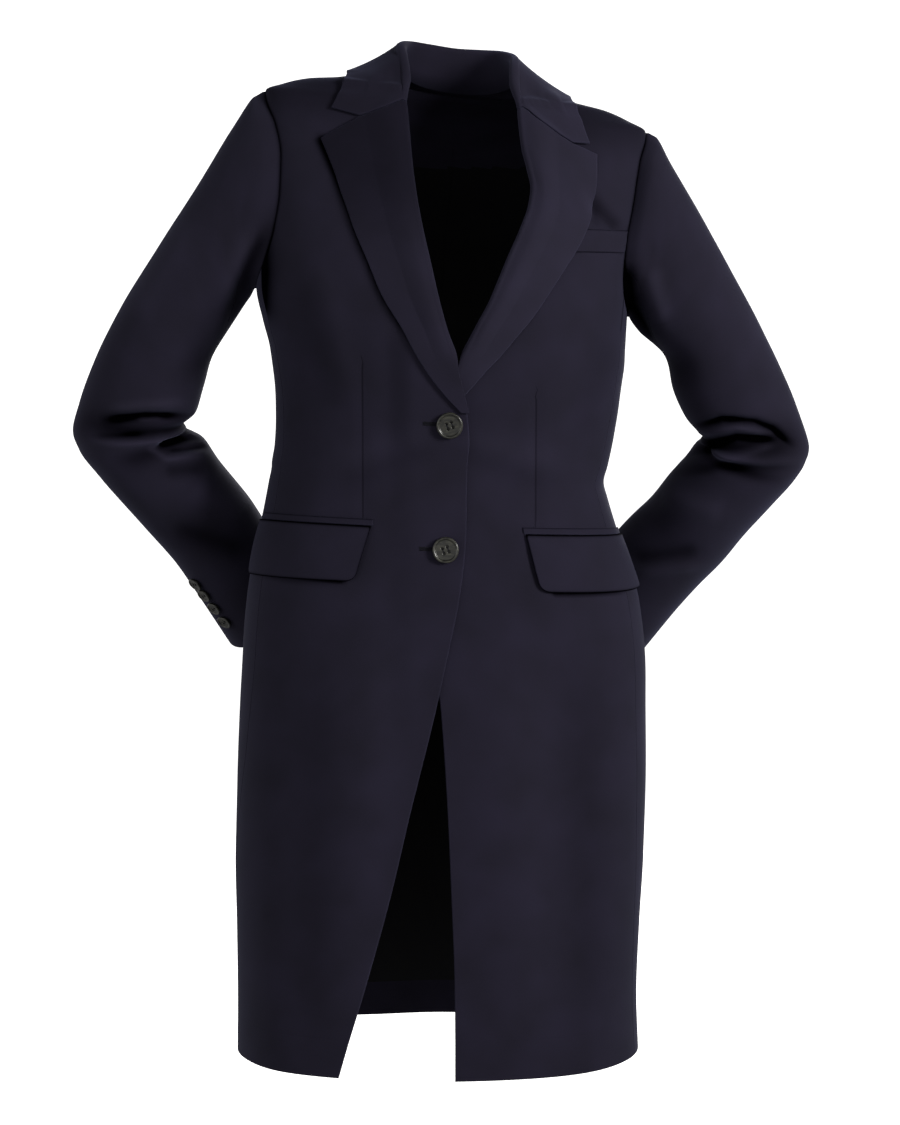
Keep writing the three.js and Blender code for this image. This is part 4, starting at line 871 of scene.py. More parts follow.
def flap_surface(side, u, v):
    f = FLAPS[side]
    u, v = rounded_shares(u, v, FLAP_LENGTH, 53.0, FLAP_CORNER, [(False, True), (True, True)])
    bow = 0.8 * np.sin(np.pi * u) * v  # the lower edge bows a little
    z = mix(mix(f["top"][0], f["top"][1], u**1.5), mix(f["foot"][0], f["foot"][1], u**1.5) - bow, v)
    angle = mix(mix(*f["ends"], u), mix(*f["foot_ends"], u), v)
    out = CLOTH + FLAP_STAND + FLAP_BELLY * np.sin(np.pi * v * 0.8)
    return lean(on_form(angle, z, out + FLAP_WALL))


def jet_surface(side, u, v):
    f, sign = FLAPS[side], sign_of[side]
    angle = mix(f["ends"][0] - sign * 0.5, f["ends"][1] + sign * 0.5, u)
    z = mix(*f["top"], u**1.5) + 0.5 + JET_HEIGHT * (1 - v)
    return lean(on_form(angle, z, CLOTH + JET_STAND + JET_WALL + 0 * angle))


def welt_surface(u, v):
    top = [mix(WELT["top"][0][k], WELT["top"][1][k], u) for k in (0, 1)]
    foot = [mix(WELT["foot"][0][k], WELT["foot"][1][k], u) for k in (0, 1)]
    x, z = mix(top[0], foot[0], v), mix(top[1], foot[1], v)
    return lean(on_form(angle_of(x, z), z, CLOTH + WELT_STAND + WELT_WALL + 0 * x))


# Meshes


def fine_rows(gaps, step, near_first, near_last):
    """Row numbers between whole rows that lie `gaps` mm apart: about `step` mm between neighbours, and
    closer near both ends, where an edge is rounded."""
    parts = [k + np.arange(n) / n for k, n in enumerate(np.ceil(gaps / step).astype(int).clip(1))]
    last = len(gaps)
    ends = [near_first / gaps[0], last - near_last / gaps[-1], [last]]
    rows = np.unique(np.concatenate([*parts, *ends]))
    return rows


NEAR_EDGE = np.array([0.1, 0.3, 0.6, 0.95, 1.35, 2.1])  # mm from an edge


def fine_shares(width, step):
    shares = fine_rows(np.array([width]), step, NEAR_EDGE, NEAR_EDGE)
    return shares


def row_gaps(surface, count, shares=(0.02, 0.5, 0.98)):
    """Distance between whole rows, the largest at the given shares."""
    rows = np.arange(count, dtype=float)[:, None]
    p = surface(rows + np.zeros((1, len(shares))), np.array([shares]) + 0 * rows)
    return length_of(np.diff(p, axis=0)).max(1)


def grid_normals(p):
    """Across the grid's two directions, worked out from neighbours on both sides."""
    return unit(np.cross(np.gradient(p, axis=0), np.gradient(p, axis=1)))


def edge_distance(p, axis, last):
    """Distance along the grid from its first or last line, in mm."""
    step = length_of(np.diff(p, axis=axis))
    first = [(1, 0), (0, 0)] if axis == 0 else [(0, 0), (1, 0)]
    run = np.pad(np.cumsum(step, axis), first)
    return (run.max(axis, keepdims=True) - run) if last else run


def drop(distance, radius):
    """How far a rounded edge has fallen: radius - sqrt(radius^2 - (radius - distance)^2)."""
    inside = np.clip(radius - distance, 0, radius)
    return radius - np.sqrt(radius**2 - inside**2)


FOLD, CUT, RAW = "fold", "seam", "hidden"


def shell(name, outer, wall, edges, outwards, materials, lining=None, creases=None, grain=0.0, relief=None):
    """A closed sheet under an outer grid. edges names top, bottom, left and right: a fold is rounded
    on both faces, a seam a little, and a hidden edge hardly. outwards points to the seen side at the
    grid's middle. lining is a grid of True where the inner face is lined."""
    n = grid_normals(outer)
    r, c = (k // 2 for k in outer.shape[:2])
    if n[r, c] @ np.asarray(outwards, float) < 0:
        n = -n
    out_drop, in_drop = np.zeros(outer.shape[:2]), np.zeros(outer.shape[:2])
    lines = zip(edges, ((0, False), (0, True), (1, False), (1, True)))
    rim = np.full(outer.shape[:2], 99.0)
    for kind, (axis, last) in lines:
        s = edge_distance(outer, axis, last)
        radii = {FOLD: (wall / 2 - 0.12,) * 2, CUT: (0.75, 0.3), RAW: (0.25, 0.25)}[kind]
        out_drop = np.maximum(out_drop, drop(s, radii[0]))
        in_drop = np.maximum(in_drop, drop(s, radii[1]))
        if kind == FOLD:
            rim = np.minimum(rim, s)
    faces = [outer - n * out_drop[..., None], outer - n * (wall - in_drop)[..., None]]
    rows, cols = outer.shape[:2]
    index = np.arange(rows * cols).reshape(rows, cols)
    quads = np.stack([index[:-1, :-1], index[1:, :-1], index[1:, 1:], index[:-1, 1:]], -1).reshape(-1, 4)
    below = quads[:, ::-1] + rows * cols

    def strip(line):
        return np.stack([line[:-1], line[1:], line[1:] + rows * cols, line[:-1] + rows * cols], -1)

    walls = [strip(index[0]), strip(index[-1, ::-1]), strip(index[::-1, 0]), strip(index[:, -1])]
    flip = np.cross(outer[r + 1, c] - outer[r, c], outer[r, c + 1] - outer[r, c]) @ n[r, c] < 0
    all_quads = np.concatenate([quads, below, *walls])
    if flip:
        all_quads = all_quads[:, ::-1]
    slots = np.zeros(len(all_quads), int)
    if lining is not None:
        slots[len(quads) : 2 * len(quads)] = lining[:-1, :-1].ravel()
    # The flat cut: distances along the rows from the middle column, and down the middle column.
    across = edge_distance(outer, 1, False)
    across = across - across[:, c : c + 1]
    down = np.repeat(edge_distance(outer, 0, False)[:, c : c + 1], cols, 1)
    turn = np.radians(grain)
    flat = np.stack([across * np.cos(turn) - down * np.sin(turn), across * np.sin(turn) + down * np.cos(turn)], -1)
    crease = np.full(outer.shape[:2], 99.0) if creases is None else creases
    # relief is painted light in mm: below 0 painted shade, above 0 painted highlight, for the wool's colour.
    relief = np.zeros(outer.shape[:2]) if relief is None else relief
    numbers = {"rim": rim, "crease": crease, "relief": relief}
    return put_mesh(
        name,
        np.concatenate([f.reshape(-1, 3) for f in faces]),
        all_quads,
        materials,
        slots,
        np.tile(flat.reshape(-1, 2), (2, 1)) * MM,
        {key: np.tile(values.ravel(), 2) for key, values in numbers.items()},
    )


def put_mesh(name, points, faces, materials, slots=None, flat=None, numbers=None):
    """Mesh data from arrays: points in mm, faces of four (or lists of any size), a UV map in metres of
    flat cloth, and one number a point for each named attribute."""
    mesh = bpy.data.meshes.new(name)
    mesh.from_pydata((np.asarray(points) * MM).tolist(), [], [list(f) for f in np.asarray(faces).tolist()]
                     if isinstance(faces, np.ndarray) else faces)
    mesh.polygons.foreach_set("use_smooth", np.ones(len(mesh.polygons), bool))
    for material in materials:
        mesh.materials.append(material)
    if slots is not None:
        mesh.polygons.foreach_set("material_index", np.asarray(slots, np.int32))
    if flat is not None:
        corner = np.zeros(len(mesh.loops), np.int32)
        mesh.loops.foreach_get("vertex_index", corner)
        layer = mesh.uv_layers.new(name="Cloth")
        layer.uv.foreach_set("vector", np.asarray(flat, np.float32)[corner].ravel())
    for key, values in (numbers or {}).items():
        mesh.attributes.new(key, "FLOAT", "POINT").data.foreach_set("value", np.asarray(values, np.float32))
    mesh.update()
    piece = bpy.data.objects.new(name, mesh)
    bpy.context.scene.collection.objects.link(piece)
    return piece


def place(piece, slot, *nodes):
    """Rides on the frame's one body and stands for its CAD nodes; slot is not used."""
    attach(piece, "root")
    if nodes:
        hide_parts(*nodes)
    return piece


def as_sheet(piece, width, length, area, rests_on=()):
    return piece


# Materials


def linear(hex_colour):
    """An sRGB hex colour as linear red, green, blue."""
    c = np.array([int(hex_colour[i : i + 2], 16) / 255 for i in (1, 3, 5)])
    return tuple(np.where(c <= 0.04045, c / 12.92, ((c + 0.055) / 1.055) ** 2.4))


def add(tree, kind, inputs=(), **settings):
    """A node with its settings; each input is a value or another node's socket."""
    made = tree.nodes.new(kind)
    for key, value in settings.items():
        setattr(made, key, value)
    for key, value in dict(inputs).items():
        if isinstance(value, bpy.types.NodeSocket):
            tree.links.new(value, made.inputs[key])
        else:
            made.inputs[key].default_value = value
    return made


def new_material(name):
    material = bpy.data.materials.new(name)
    material.use_nodes = True
    material.node_tree.nodes.clear()
    return material, material.node_tree


def finish_material(tree, shader):
    output = tree.nodes.new("ShaderNodeOutputMaterial")
    tree.links.new(shader.outputs[0], output.inputs["Surface"])


def rgba(colour):
    return (*colour[:3], 1.0)


def brushed_wool(sizes):
    """Milled navy coating wool with a short nap brushed down the cloth: a deep, nearly matt colour, soft light at
    glancing angles and a faint twill under the nap. Folded edges get a painted highlight, and the relief attribute
    paints shade into the folds' troughs and light onto their ridges."""
    material, tree = new_material("brushed_wool")
    uv = add(tree, "ShaderNodeUVMap", uv_map="Cloth")
    mm = add(tree, "ShaderNodeMapping", {"Vector": uv.outputs[0], "Scale": (1000, 1000, 1000)})
    # Nap fibres are 0.02 mm thick; they are drawn as locks 0.5 mm wide and 2.4 mm long to show.
    lock = add(tree, "ShaderNodeMapping", {"Vector": mm.outputs[0], "Scale": (2.0, 0.42, 1)})
    nap = add(tree, "ShaderNodeTexNoise", {"Vector": lock.outputs[0], "Scale": 1.0, "Detail": 3, "Roughness": 0.6})
    # Brushing and wear shade the cloth in patches of about 60 mm.
    patch = add(tree, "ShaderNodeTexNoise", {"Vector": mm.outputs[0], "Scale": 1 / 60, "Detail": 2})
    # Twill ribs stand 0.8 mm apart and lean 45 degrees.
    diagonal = add(tree, "ShaderNodeMapping", {"Vector": mm.outputs[0], "Rotation": (0, 0, np.radians(45))})
    twill = add(tree, "ShaderNodeTexWave", {"Vector": diagonal.outputs[0], "Scale": 0.31 / 0.8, "Distortion": 1.5, "Detail": 1, "Detail Scale": 2})
    tone = add(tree, "ShaderNodeMath", {0: nap.outputs[0], 1: 0.45}, operation="MULTIPLY")
    tone = add(tree, "ShaderNodeMath", {0: patch.outputs[0], 1: 0.55, 2: tone.outputs[0]}, operation="MULTIPLY_ADD")
    ramp = add(tree, "ShaderNodeMapRange", {"Value": tone.outputs[0], "From Min": 0.3, "From Max": 0.7})
    colour = add(
        tree, "ShaderNodeMix", {0: ramp.outputs[0], 6: rgba(sizes.wool_dark), 7: rgba(sizes.wool_light)}, data_type="RGBA"
    )
    crease = add(tree, "ShaderNodeAttribute", attribute_name="crease")
    apart = add(tree, "ShaderNodeMath", {0: crease.outputs["Fac"]}, operation="ABSOLUTE")
    line = add(tree, "ShaderNodeMapRange", {"Value": apart.outputs[0], "From Min": 0.15, "From Max": 1.5}, interpolation_type="SMOOTHSTEP")
    # Painted highlight: folded edges are painted lighter within about 2 mm of the fold.
    rim = add(tree, "ShaderNodeAttribute", attribute_name="rim")
    worn = add(
        tree, "ShaderNodeMapRange", {"Value": rim.outputs["Fac"], "From Min": 0.2, "From Max": 2.2, "To Min": 0.1, "To Max": 0.0},
        interpolation_type="SMOOTHSTEP",
    )
    painted_edge_highlight = add(tree, "ShaderNodeMix", {0: worn.outputs[0], 6: colour.outputs[2], 7: rgba(sizes.wool_edge_highlight)}, data_type="RGBA")
    # Painted light from the relief attribute: colour, sheen and reflection are darkened as painted shade in the folds'
    # troughs and beside edges, and lightened as a painted highlight on their ridges.
    relief = add(tree, "ShaderNodeAttribute", attribute_name="relief")
    painted_fold_light = add(
        tree, "ShaderNodeMapRange",
        {"Value": relief.outputs["Fac"], "From Min": -6.0, "From Max": 3.0, "To Min": 0.02, "To Max": 1.49},
    )
    shade = add(tree, "ShaderNodeMapRange", {"Value": line.outputs[0], "To Min": 0.62, "To Max": 1.0})
    shade = add(tree, "ShaderNodeMath", {0: shade.outputs[0], 1: painted_fold_light.outputs[0]}, operation="MULTIPLY")
    final = add(tree, "ShaderNodeMix", {0: 1.0, 6: painted_edge_highlight.outputs[2], 7: shade.outputs[0]}, data_type="RGBA", blend_type="MULTIPLY")
    dull = add(tree, "ShaderNodeMath", {0: shade.outputs[0], 1: 0.18}, operation="MULTIPLY")
    sheen = add(tree, "ShaderNodeMath", {0: shade.outputs[0], 1: sizes.sheen}, operation="MULTIPLY")
    # Height in millimetres: nap 0.10, twill 0.03, a seam line 0.5 deep.
    height = add(tree, "ShaderNodeMath", {0: nap.outputs[0], 1: 0.10}, operation="MULTIPLY")
    height = add(tree, "ShaderNodeMath", {0: twill.outputs["Fac"], 1: 0.03, 2: height.outputs[0]}, operation="MULTIPLY_ADD")
    height = add(tree, "ShaderNodeMath", {0: line.outputs[0], 1: 0.5, 2: height.outputs[0]}, operation="MULTIPLY_ADD")
    bump = add(tree, "ShaderNodeBump", {"Height": height.outputs[0], "Distance": MM, "Strength": sizes.nap})
    shader = add(
        tree,
        "ShaderNodeBsdfPrincipled",
        {
            "Base Color": final.outputs[2],
            "Roughness": 0.92,
            "IOR": 1.45,
            "Specular IOR Level": dull.outputs[0],
            "Sheen Weight": sheen.outputs[0],
            "Sheen Roughness": 0.45,
            "Sheen Tint": rgba(linear("#8a8fb8")),
            "Normal": bump.outputs[0],
        },
    )
    finish_material(tree, shader)
    return material


def lining_satin(sizes):
    """Viscose satin lining: nearly black navy, smooth, with a soft band of light along its folds."""
    material, tree = new_material("lining_satin")
    uv = add(tree, "ShaderNodeUVMap", uv_map="Cloth")
    # Satin floats are 0.1 mm wide; drawn 0.6 mm wide to show.
    mm = add(tree, "ShaderNodeMapping", {"Vector": uv.outputs[0], "Scale": (1600, 160, 1600)})
    floats = add(tree, "ShaderNodeTexNoise", {"Vector": mm.outputs[0], "Scale": 1.0, "Detail": 2})
    soft = add(tree, "ShaderNodeMapping", {"Vector": uv.outputs[0], "Scale": (55, 14, 55)})
    ripple = add(tree, "ShaderNodeTexNoise", {"Vector": soft.outputs[0], "Scale": 1.0, "Detail": 1})
    colour = add(
        tree, "ShaderNodeMix", {0: floats.outputs[0], 6: rgba(linear("#050508")), 7: rgba(sizes.lining)}, data_type="RGBA"
    )
    height = add(tree, "ShaderNodeMath", {0: floats.outputs[0], 1: 0.02}, operation="MULTIPLY")
    height = add(tree, "ShaderNodeMath", {0: ripple.outputs[0], 1: 1.6, 2: height.outputs[0]}, operation="MULTIPLY_ADD")
    bump = add(tree, "ShaderNodeBump", {"Height": height.outputs[0], "Distance": MM, "Strength": 0.8})
    shader = add(
        tree,
        "ShaderNodeBsdfPrincipled",
        {
            "Base Color": colour.outputs[2],
            "Roughness": 0.6,
            "IOR": 1.48,
            "Specular IOR Level": 0.12,
            "Normal": bump.outputs[0],
        },
    )
    finish_material(tree, shader)
    return material


def horn_resin(sizes):
    """Cast polyester made to look like dark horn: olive-black with cloudy streaks under a light clear coat."""
    material, tree = new_material("horn_resin")
    where = add(tree, "ShaderNodeTexCoord")
    streak = add(tree, "ShaderNodeMapping", {"Vector": where.outputs["Object"], "Scale": (130, 130, 420)})
    cloud = add(tree, "ShaderNodeTexNoise", {"Vector": streak.outputs[0], "Scale": 1.0, "Detail": 4, "Distortion": 1.2})
    level = add(tree, "ShaderNodeMapRange", {"Value": cloud.outputs[0], "From Min": 0.42, "From Max": 0.68})
    colour = add(
        tree, "ShaderNodeMix", {0: level.outputs[0], 6: rgba(sizes.horn_dark), 7: rgba(sizes.horn_light)}, data_type="RGBA"
    )
    rough = add(tree, "ShaderNodeMapRange", {"Value": cloud.outputs[0], "To Min": 0.24, "To Max": 0.4})
    height = add(tree, "ShaderNodeMath", {0: cloud.outputs[0], 1: 0.05}, operation="MULTIPLY")
    bump = add(tree, "ShaderNodeBump", {"Height": height.outputs[0], "Distance": MM, "Strength": 0.6})
    shader = add(
        tree,
        "ShaderNodeBsdfPrincipled",
        {
            "Base Color": colour.outputs[2],
            "Roughness": rough.outputs[0],
            "IOR": 1.54,
            "Coat Weight": 0.25,
            "Coat Roughness": 0.15,
            "Normal": bump.outputs[0],
        },
    )
    finish_material(tree, shader)
    return material


def sewing_thread(sizes):
    """Spun polyester thread: near-black navy, slightly hairy, with its twist as fine ribs."""
    material, tree = new_material("sewing_thread")
    where = add(tree, "ShaderNodeTexCoord")
    twist = add(tree, "ShaderNodeTexNoise", {"Vector": where.outputs["Object"], "Scale": 2200, "Detail": 2})
    colour = add(
        tree, "ShaderNodeMix", {0: twist.outputs[0], 6: rgba(linear("#08080d")), 7: rgba(linear("#15151f"))}, data_type="RGBA"
    )
    height = add(tree, "ShaderNodeMath", {0: twist.outputs[0], 1: 0.05}, operation="MULTIPLY")
    bump = add(tree, "ShaderNodeBump", {"Height": height.outputs[0], "Distance": MM, "Strength": 1.0})
    shader = add(
        tree,
        "ShaderNodeBsdfPrincipled",
        {"Base Color": colour.outputs[2], "Roughness": 0.8, "Specular IOR Level": 0.2, "Normal": bump.outputs[0]},
    )
    finish_material(tree, shader)
    return material


MADE = {}


def finish(name, sizes):
    """Each material is made once and then shared."""
    makers = {"wool": brushed_wool, "lining": lining_satin, "horn": horn_resin, "thread": sewing_thread}
    if name not in MADE:
        MADE[name] = makers[name](sizes)
    return MADE[name]


# Buttons and sewing


def turned_frame(point, normal, up=(0, 0, 1)):
    """Two directions square to the normal: the first runs sideways, the second up."""
    normal = unit(np.asarray(normal, float))
    side = unit(np.cross(np.asarray(up, float), normal))
    return side, np.cross(normal, side), normal


def button_points(across, thick, rim, dish, hole, spread, around, rings):
    """A turned profile from the face's centre, over the raised rim, to the back's centre: r and height
    over a run t. The four holes are pits pushed into the face: depth * (1 - smooth(distance))."""
    r = across / 2
    profile = column(
        [0, 1, 2, 3, 4, 5, 6, 7, 8, 9],
        [0.02, (r - rim * 1.25) * 0.6, r - rim * 1.3, r - rim * 0.95, r - rim * 0.5, r * 0.97, r, r * 0.93, r * 0.72, 0.02],
    )
    height = column(
        [0, 1, 2, 3, 4, 5, 6, 7, 8, 9],
        [thick - dish * 1.15, thick - dish * 1.1, thick - dish, thick * 0.93, thick, thick * 0.9, thick * 0.6, thick * 0.28, 0, 0],
    )
    inner = np.linspace(0, 2, rings)
    t = np.concatenate([inner, np.linspace(2, 9, 34)[1:]])[:, None]
    turn = np.linspace(0, 2 * np.pi, around, endpoint=False)[None, :]
    x, y, z = profile(t) * np.cos(turn), profile(t) * np.sin(turn), height(t) + 0 * turn
    pit = 0
    for sx, sy in ((1, 1), (-1, 1), (-1, -1), (1, -1)):
        away = np.hypot(x - sx * spread / 2, y - sy * spread / 2)
        pit = np.maximum(pit, 1 - smooth(hole * 0.42, hole * 0.6, away))
    z = z - pit * (thick * 0.75) * (t < 3)
    return np.stack([x, y, z], -1)


def round_faces(rows, cols):
    """Quads of a closed ring grid, with one many-sided face closing each end."""
    ring = np.arange(rows * cols).reshape(rows, cols)
    nxt = np.roll(ring, -1, 1)
    quads = np.stack([ring[:-1], ring[1:], nxt[1:], nxt[:-1]], -1).reshape(-1, 4).tolist()
    return [ring[0, :].tolist(), *quads, ring[-1, ::-1].tolist()]


def set_down(points, at, normal, spin=0.0):
    side, up, out = turned_frame(at, normal)
    c, s = np.cos(spin), np.sin(spin)
    x, y, z = points[..., 0] * c - points[..., 1] * s, points[..., 0] * s + points[..., 1] * c, points[..., 2]
    return at + x[..., None] * side + y[..., None] * up + z[..., None] * out


def tube(path, radius, around=8):
    """A round cord along points: circle points square to the path's own direction."""
    path = np.asarray(path, float)
    along = unit(np.gradient(path, axis=0))
    reference = np.where(np.abs(along[:, 2:3]) > 0.9, [[1.0, 0, 0]], [[0, 0, 1.0]])
    side = unit(np.cross(along, reference))
    up = np.cross(side, along)
    turn = np.linspace(0, 2 * np.pi, around, endpoint=False)
    ring = side[:, None] * np.cos(turn)[None, :, None] + up[:, None] * np.sin(turn)[None, :, None]
    radius = np.broadcast_to(radius, len(path))[:, None, None]
    return path[:, None] + ring * radius


def join_rounds(parts):
    """Points and faces of several ring grids as one mesh."""
    points, faces, start = [], [], 0
    for p in parts:
        rows, cols = p.shape[:2]
        faces += [[i + start for i in f] for f in round_faces(rows, cols)]
        points.append(p.reshape(-1, 3))
        start += rows * cols
    return np.concatenate(points), faces


FRONT_BUTTONS = {"button_top": (-6.4, -330.7), "button_bottom": (-10.2, -450.0)}
# Cuff buttons, from the first to the last: places round the sleeve, then rows along it.
CUFF_BUTTONS = {"right": ((31.0, 38.0), (12.6, 13.98)), "left": ((-36.0, -36.0), (13.5, 14.95))}
BUTTON = dict(across=25.0, thick=5.0, rim=2.4, dish=1.4, hole=2.5, spread=4.9)
CUFF_BUTTON = dict(across=15.0, thick=3.4, rim=1.6, dish=0.9, hole=1.5, spread=3.4)


def front_spot(x, z, extra=0.0):
    """A place on the right front's outer face, and the direction square to it."""

    def at(dx, dz):
        a, b = np.array(x + dx), np.array(z + dz)
        return lean(on_form(angle_of(a, b), b, lap_lift(a, b) + CLOTH + extra))

    return at(0, 0), unit(np.cross(at(0, -6) - at(0, 6), at(6, 0) - at(-6, 0)))


def button_thread(size):
    """Two pairs of stitches across the holes, each an arch, and a wound shank under the button."""
    half, top = size["spread"] / 2, size["thick"] - size["dish"]
    stitches = []
    for side in (-1, 1):
        for apart in (-0.22, 0.22):
            t = np.linspace(0, 1, 12)
            y = mix(-half, half, t)
            z = top - 1.9 + 2.15 * np.sin(np.pi * t) ** 0.6
            x = side * half + apart * (1 + 0.3 * np.cos(np.pi * (t - 0.5)))
            stitches.append(tube(np.stack([x, y, z], -1), 0.21, 6))
    t = np.linspace(0, 1, 60)
    wound = np.stack([0.9 * np.cos(t * 37.7), 0.9 * np.sin(t * 37.7), mix(-0.7, 0.4, t)], -1)
    return [*stitches, tube(wound, 0.22, 5)]


def buttonhole_parts(size, length):
    """A worked keyhole: purl loops stand close along both lips of the slit and round its eye.
    Local x runs from the eye (0) to the tail, y across, z out of the cloth."""
    loops = []
    count = int(length / 0.62)
    for k in range(count):
        x = -1.0 - k * 0.62
        for side in (-1, 1):
            t = np.linspace(0, np.pi, 5)
            y = side * (0.25 + 0.75 * (1 - np.cos(t)))
            loops.append(tube(np.stack([0 * t + x, y, 0.32 * np.sin(t) + 0.05], -1), 0.26, 5))
    for angle in np.radians(np.arange(-140, 141, 20)):
        t = np.linspace(0, np.pi, 5)
        r = 1.0 + 0.75 * (1 - np.cos(t))
        loops.append(tube(np.stack([r * np.cos(angle), r * np.sin(angle), 0.32 * np.sin(t) + 0.05], -1), 0.26, 5))
    return loops


# Settings


class OvercoatFinish(bpy.types.PropertyGroup):
    """Colours and finishes of the coat."""

    wool_dark: bpy.props.FloatVectorProperty(
        name="Wool, dark", description="Deep tone of the wool", subtype="COLOR", default=linear("#16141f")
    )
    wool_light: bpy.props.FloatVectorProperty(
        name="Wool, light", description="Light tone of the wool's nap", subtype="COLOR", default=linear("#201d2d")
    )
    # Colour of the painted highlight along folded edges.
    wool_edge_highlight: bpy.props.FloatVectorProperty(
        name="Wool, edges", description="Tone of pressed folded edges", subtype="COLOR", default=linear("#34334a")
    )
    lining: bpy.props.FloatVectorProperty(
        name="Lining", description="Light tone of the satin lining", subtype="COLOR", default=linear("#0a0a10")
    )
    horn_dark: bpy.props.FloatVectorProperty(
        name="Buttons, dark", description="Deep tone of the buttons", subtype="COLOR", default=linear("#10110e")
    )
    horn_light: bpy.props.FloatVectorProperty(
        name="Buttons, light", description="Streaks in the buttons", subtype="COLOR", default=linear("#33332a")
    )
    sheen: bpy.props.FloatProperty(
        name="Sheen", description="Soft light of the nap at glancing angles", default=0.22, min=0, max=1
    )
    nap: bpy.props.FloatProperty(name="Nap", description="Strength of the nap's relief", default=0.6, min=0, max=1)


class OvercoatSewing(bpy.types.PropertyGroup):
    """Sizes of the sewn details."""

    hem_turn: bpy.props.FloatProperty(
        name="Hem turn-up", description="Height of the wool turned up inside the hem", default=0.038, unit="LENGTH"
    )
    facing: bpy.props.FloatProperty(
        name="Front facing", description="Width of the wool facing inside the front edge", default=0.095, unit="LENGTH"
    )
    cuff_turn: bpy.props.FloatProperty(
        name="Cuff turn-up", description="Height of the wool turned up inside the cuff", default=0.03, unit="LENGTH"
    )
    buttonhole: bpy.props.FloatProperty(
        name="Buttonhole", description="Length of a worked buttonhole", default=0.027, unit="LENGTH"
    )


# Pieces

DARTS = {"right": (-88.6, -278.0, -413.0), "left": (75.0, -309.0, -423.0)}


def sampled(surface, count, width, step=STEP, shares=(0.02, 0.5, 0.98)):
    """Rows and shares for a panel of `count` whole rows, and its points."""
    gaps = row_gaps(surface, count, shares)
    rows = fine_rows(gaps, step, NEAR_EDGE, NEAR_EDGE)
    across = fine_shares(width, step)
    r, s = np.meshgrid(rows, across, indexing="ij")
    return r, s, surface(r, s)


def dart_lines(side, p):
    """Signed distance from the waist dart on the front, growing past its two ends; 99 at the back."""
    x, top, foot = DARTS[side]
    beyond = np.maximum(0, np.maximum(p[..., 2] - top, foot - p[..., 2]))
    dart = np.sign(p[..., 0] - x + 1e-6) * np.hypot(p[..., 0] - x, beyond * 0.4)
    return np.where(p[..., 1] < 0, dart, 99.0)


def hem_line(p, above):
    return np.hypot(p[..., 2] - (HEM_Z + above), 1.05)


class OVERCOAT_OT_body(bpy.types.Operator):
    """Fronts, side panels and backs: six shells on the body's form"""

    bl_idname = "overcoat.body"
    bl_label = "Body panels"

    def execute(self, context):
        sizes, sewing = context.scene.overcoat_finish, context.scene.overcoat_sewing
        cloth = [finish("wool", sizes), finish("lining", sizes)]
        hem, facing = sewing.hem_turn / MM, sewing.facing / MM
        for side in ("right", "left"):
            sign = sign_of[side]
            r, s, p = sampled(lambda a, b: front_surface(side, a, b), 31, 235.0)
            dart = dart_lines(side, p)
            p = p + np.array([0, 0.9, 0]) * bell(dart, 0, 5.0)[..., None]
            crease = np.where(np.abs(dart) < 6, dart, hem_line(p, hem))
            inside = (p[..., 2] > HEM_Z + hem) & (edge_distance(p, 1, False) > facing) & (p[..., 2] < -70)
            # The front's relief is painted shade and light: the body's folds, shadows beside the lapel and flap, and
            # shade along the armhole seam.
            piece = shell(
                "front_panel_" + side, p, CLOTH, (CUT, FOLD, FOLD, CUT), (0, -1, 0), cloth, inside, crease,
                relief=painted_body_shade(side, p) + sunk(edge_distance(p, 1, True), 5.5, 2.4) * (r < len(FRONT_TURNS)),
            )
            place(piece, "wool_cloth", "front_" + side)
            as_sheet(piece, 290, 990, *CUTS["front_" + side])

            r, s, p = sampled(lambda a, b: side_surface(side, a, b), 21, 110.0)
            inside = p[..., 2] > HEM_Z + hem
            piece = shell(
                "side_panel_" + side, p, CLOTH, (CUT, FOLD, CUT, CUT), (sign, 0, 0), cloth, inside, hem_line(p, hem)
            )
            place(piece, "wool_cloth", "side_" + side)
            as_sheet(piece, 150, 770, *CUTS["side_" + side])

            r, s, p = sampled(lambda a, b: back_surface(side, a, b), 28, 210.0)
            inside = (p[..., 2] > HEM_Z + hem) & (p[..., 2] < -85)
            # The back's relief is the body's painted shade and light.
            piece = shell(
                "back_panel_" + side, p, CLOTH, (CUT, FOLD, CUT, CUT), (0, 1, 0), cloth, inside,
                hem_line(p, hem), relief=painted_body_shade(side, p),
            )
            place(piece, "wool_cloth", "back_" + side)
            as_sheet(piece, 250, 960, *CUTS["back_" + side])
        return {"FINISHED"}


class OVERCOAT_OT_sleeves(bpy.types.Operator):
    """Top and under halves of both bent sleeves"""

    bl_idname = "overcoat.sleeves"
    bl_label = "Sleeves"

    def execute(self, context):
        sizes, sewing = context.scene.overcoat_finish, context.scene.overcoat_sewing
        cloth = [finish("wool", sizes), finish("lining", sizes)]
        for side in ("right", "left"):
            sleeve = Sleeve(side)
            for half, width in (("top", 200.0), ("under", 150.0)):
                count = int(sleeve.last) + 1
                r, s, p = sampled(lambda a, b: sleeve.half(half, a, b), count, width, SLEEVE_STEP, (0.02, 0.35, 0.65, 0.98))
                to_cuff = edge_distance(p, 0, True)
                middle = sleeve.centre(r[len(r) // 2, 0])
                outwards = p[len(r) // 2, s.shape[1] // 2] - middle
                # Painted shade in the folds' troughs and along the armhole seam, and painted light on their ridges,
                # through the relief attribute.
                relief = sleeve.relief(sleeve.turn_at(half, r, s), r) + sunk(edge_distance(p, 0, False), 4.0, 2.2)
                piece = shell(
                    f"sleeve_{half}_{side}", p, CLOTH, (CUT, FOLD, CUT, CUT), outwards, cloth,
                    to_cuff > sewing.cuff_turn / MM, relief=relief,
                )
                place(piece, "wool_cloth", f"sleeve_{side}_{half}")
                as_sheet(piece, width + 30, 680, *CUTS[f"sleeve_{side}_{half}"])
        return {"FINISHED"}


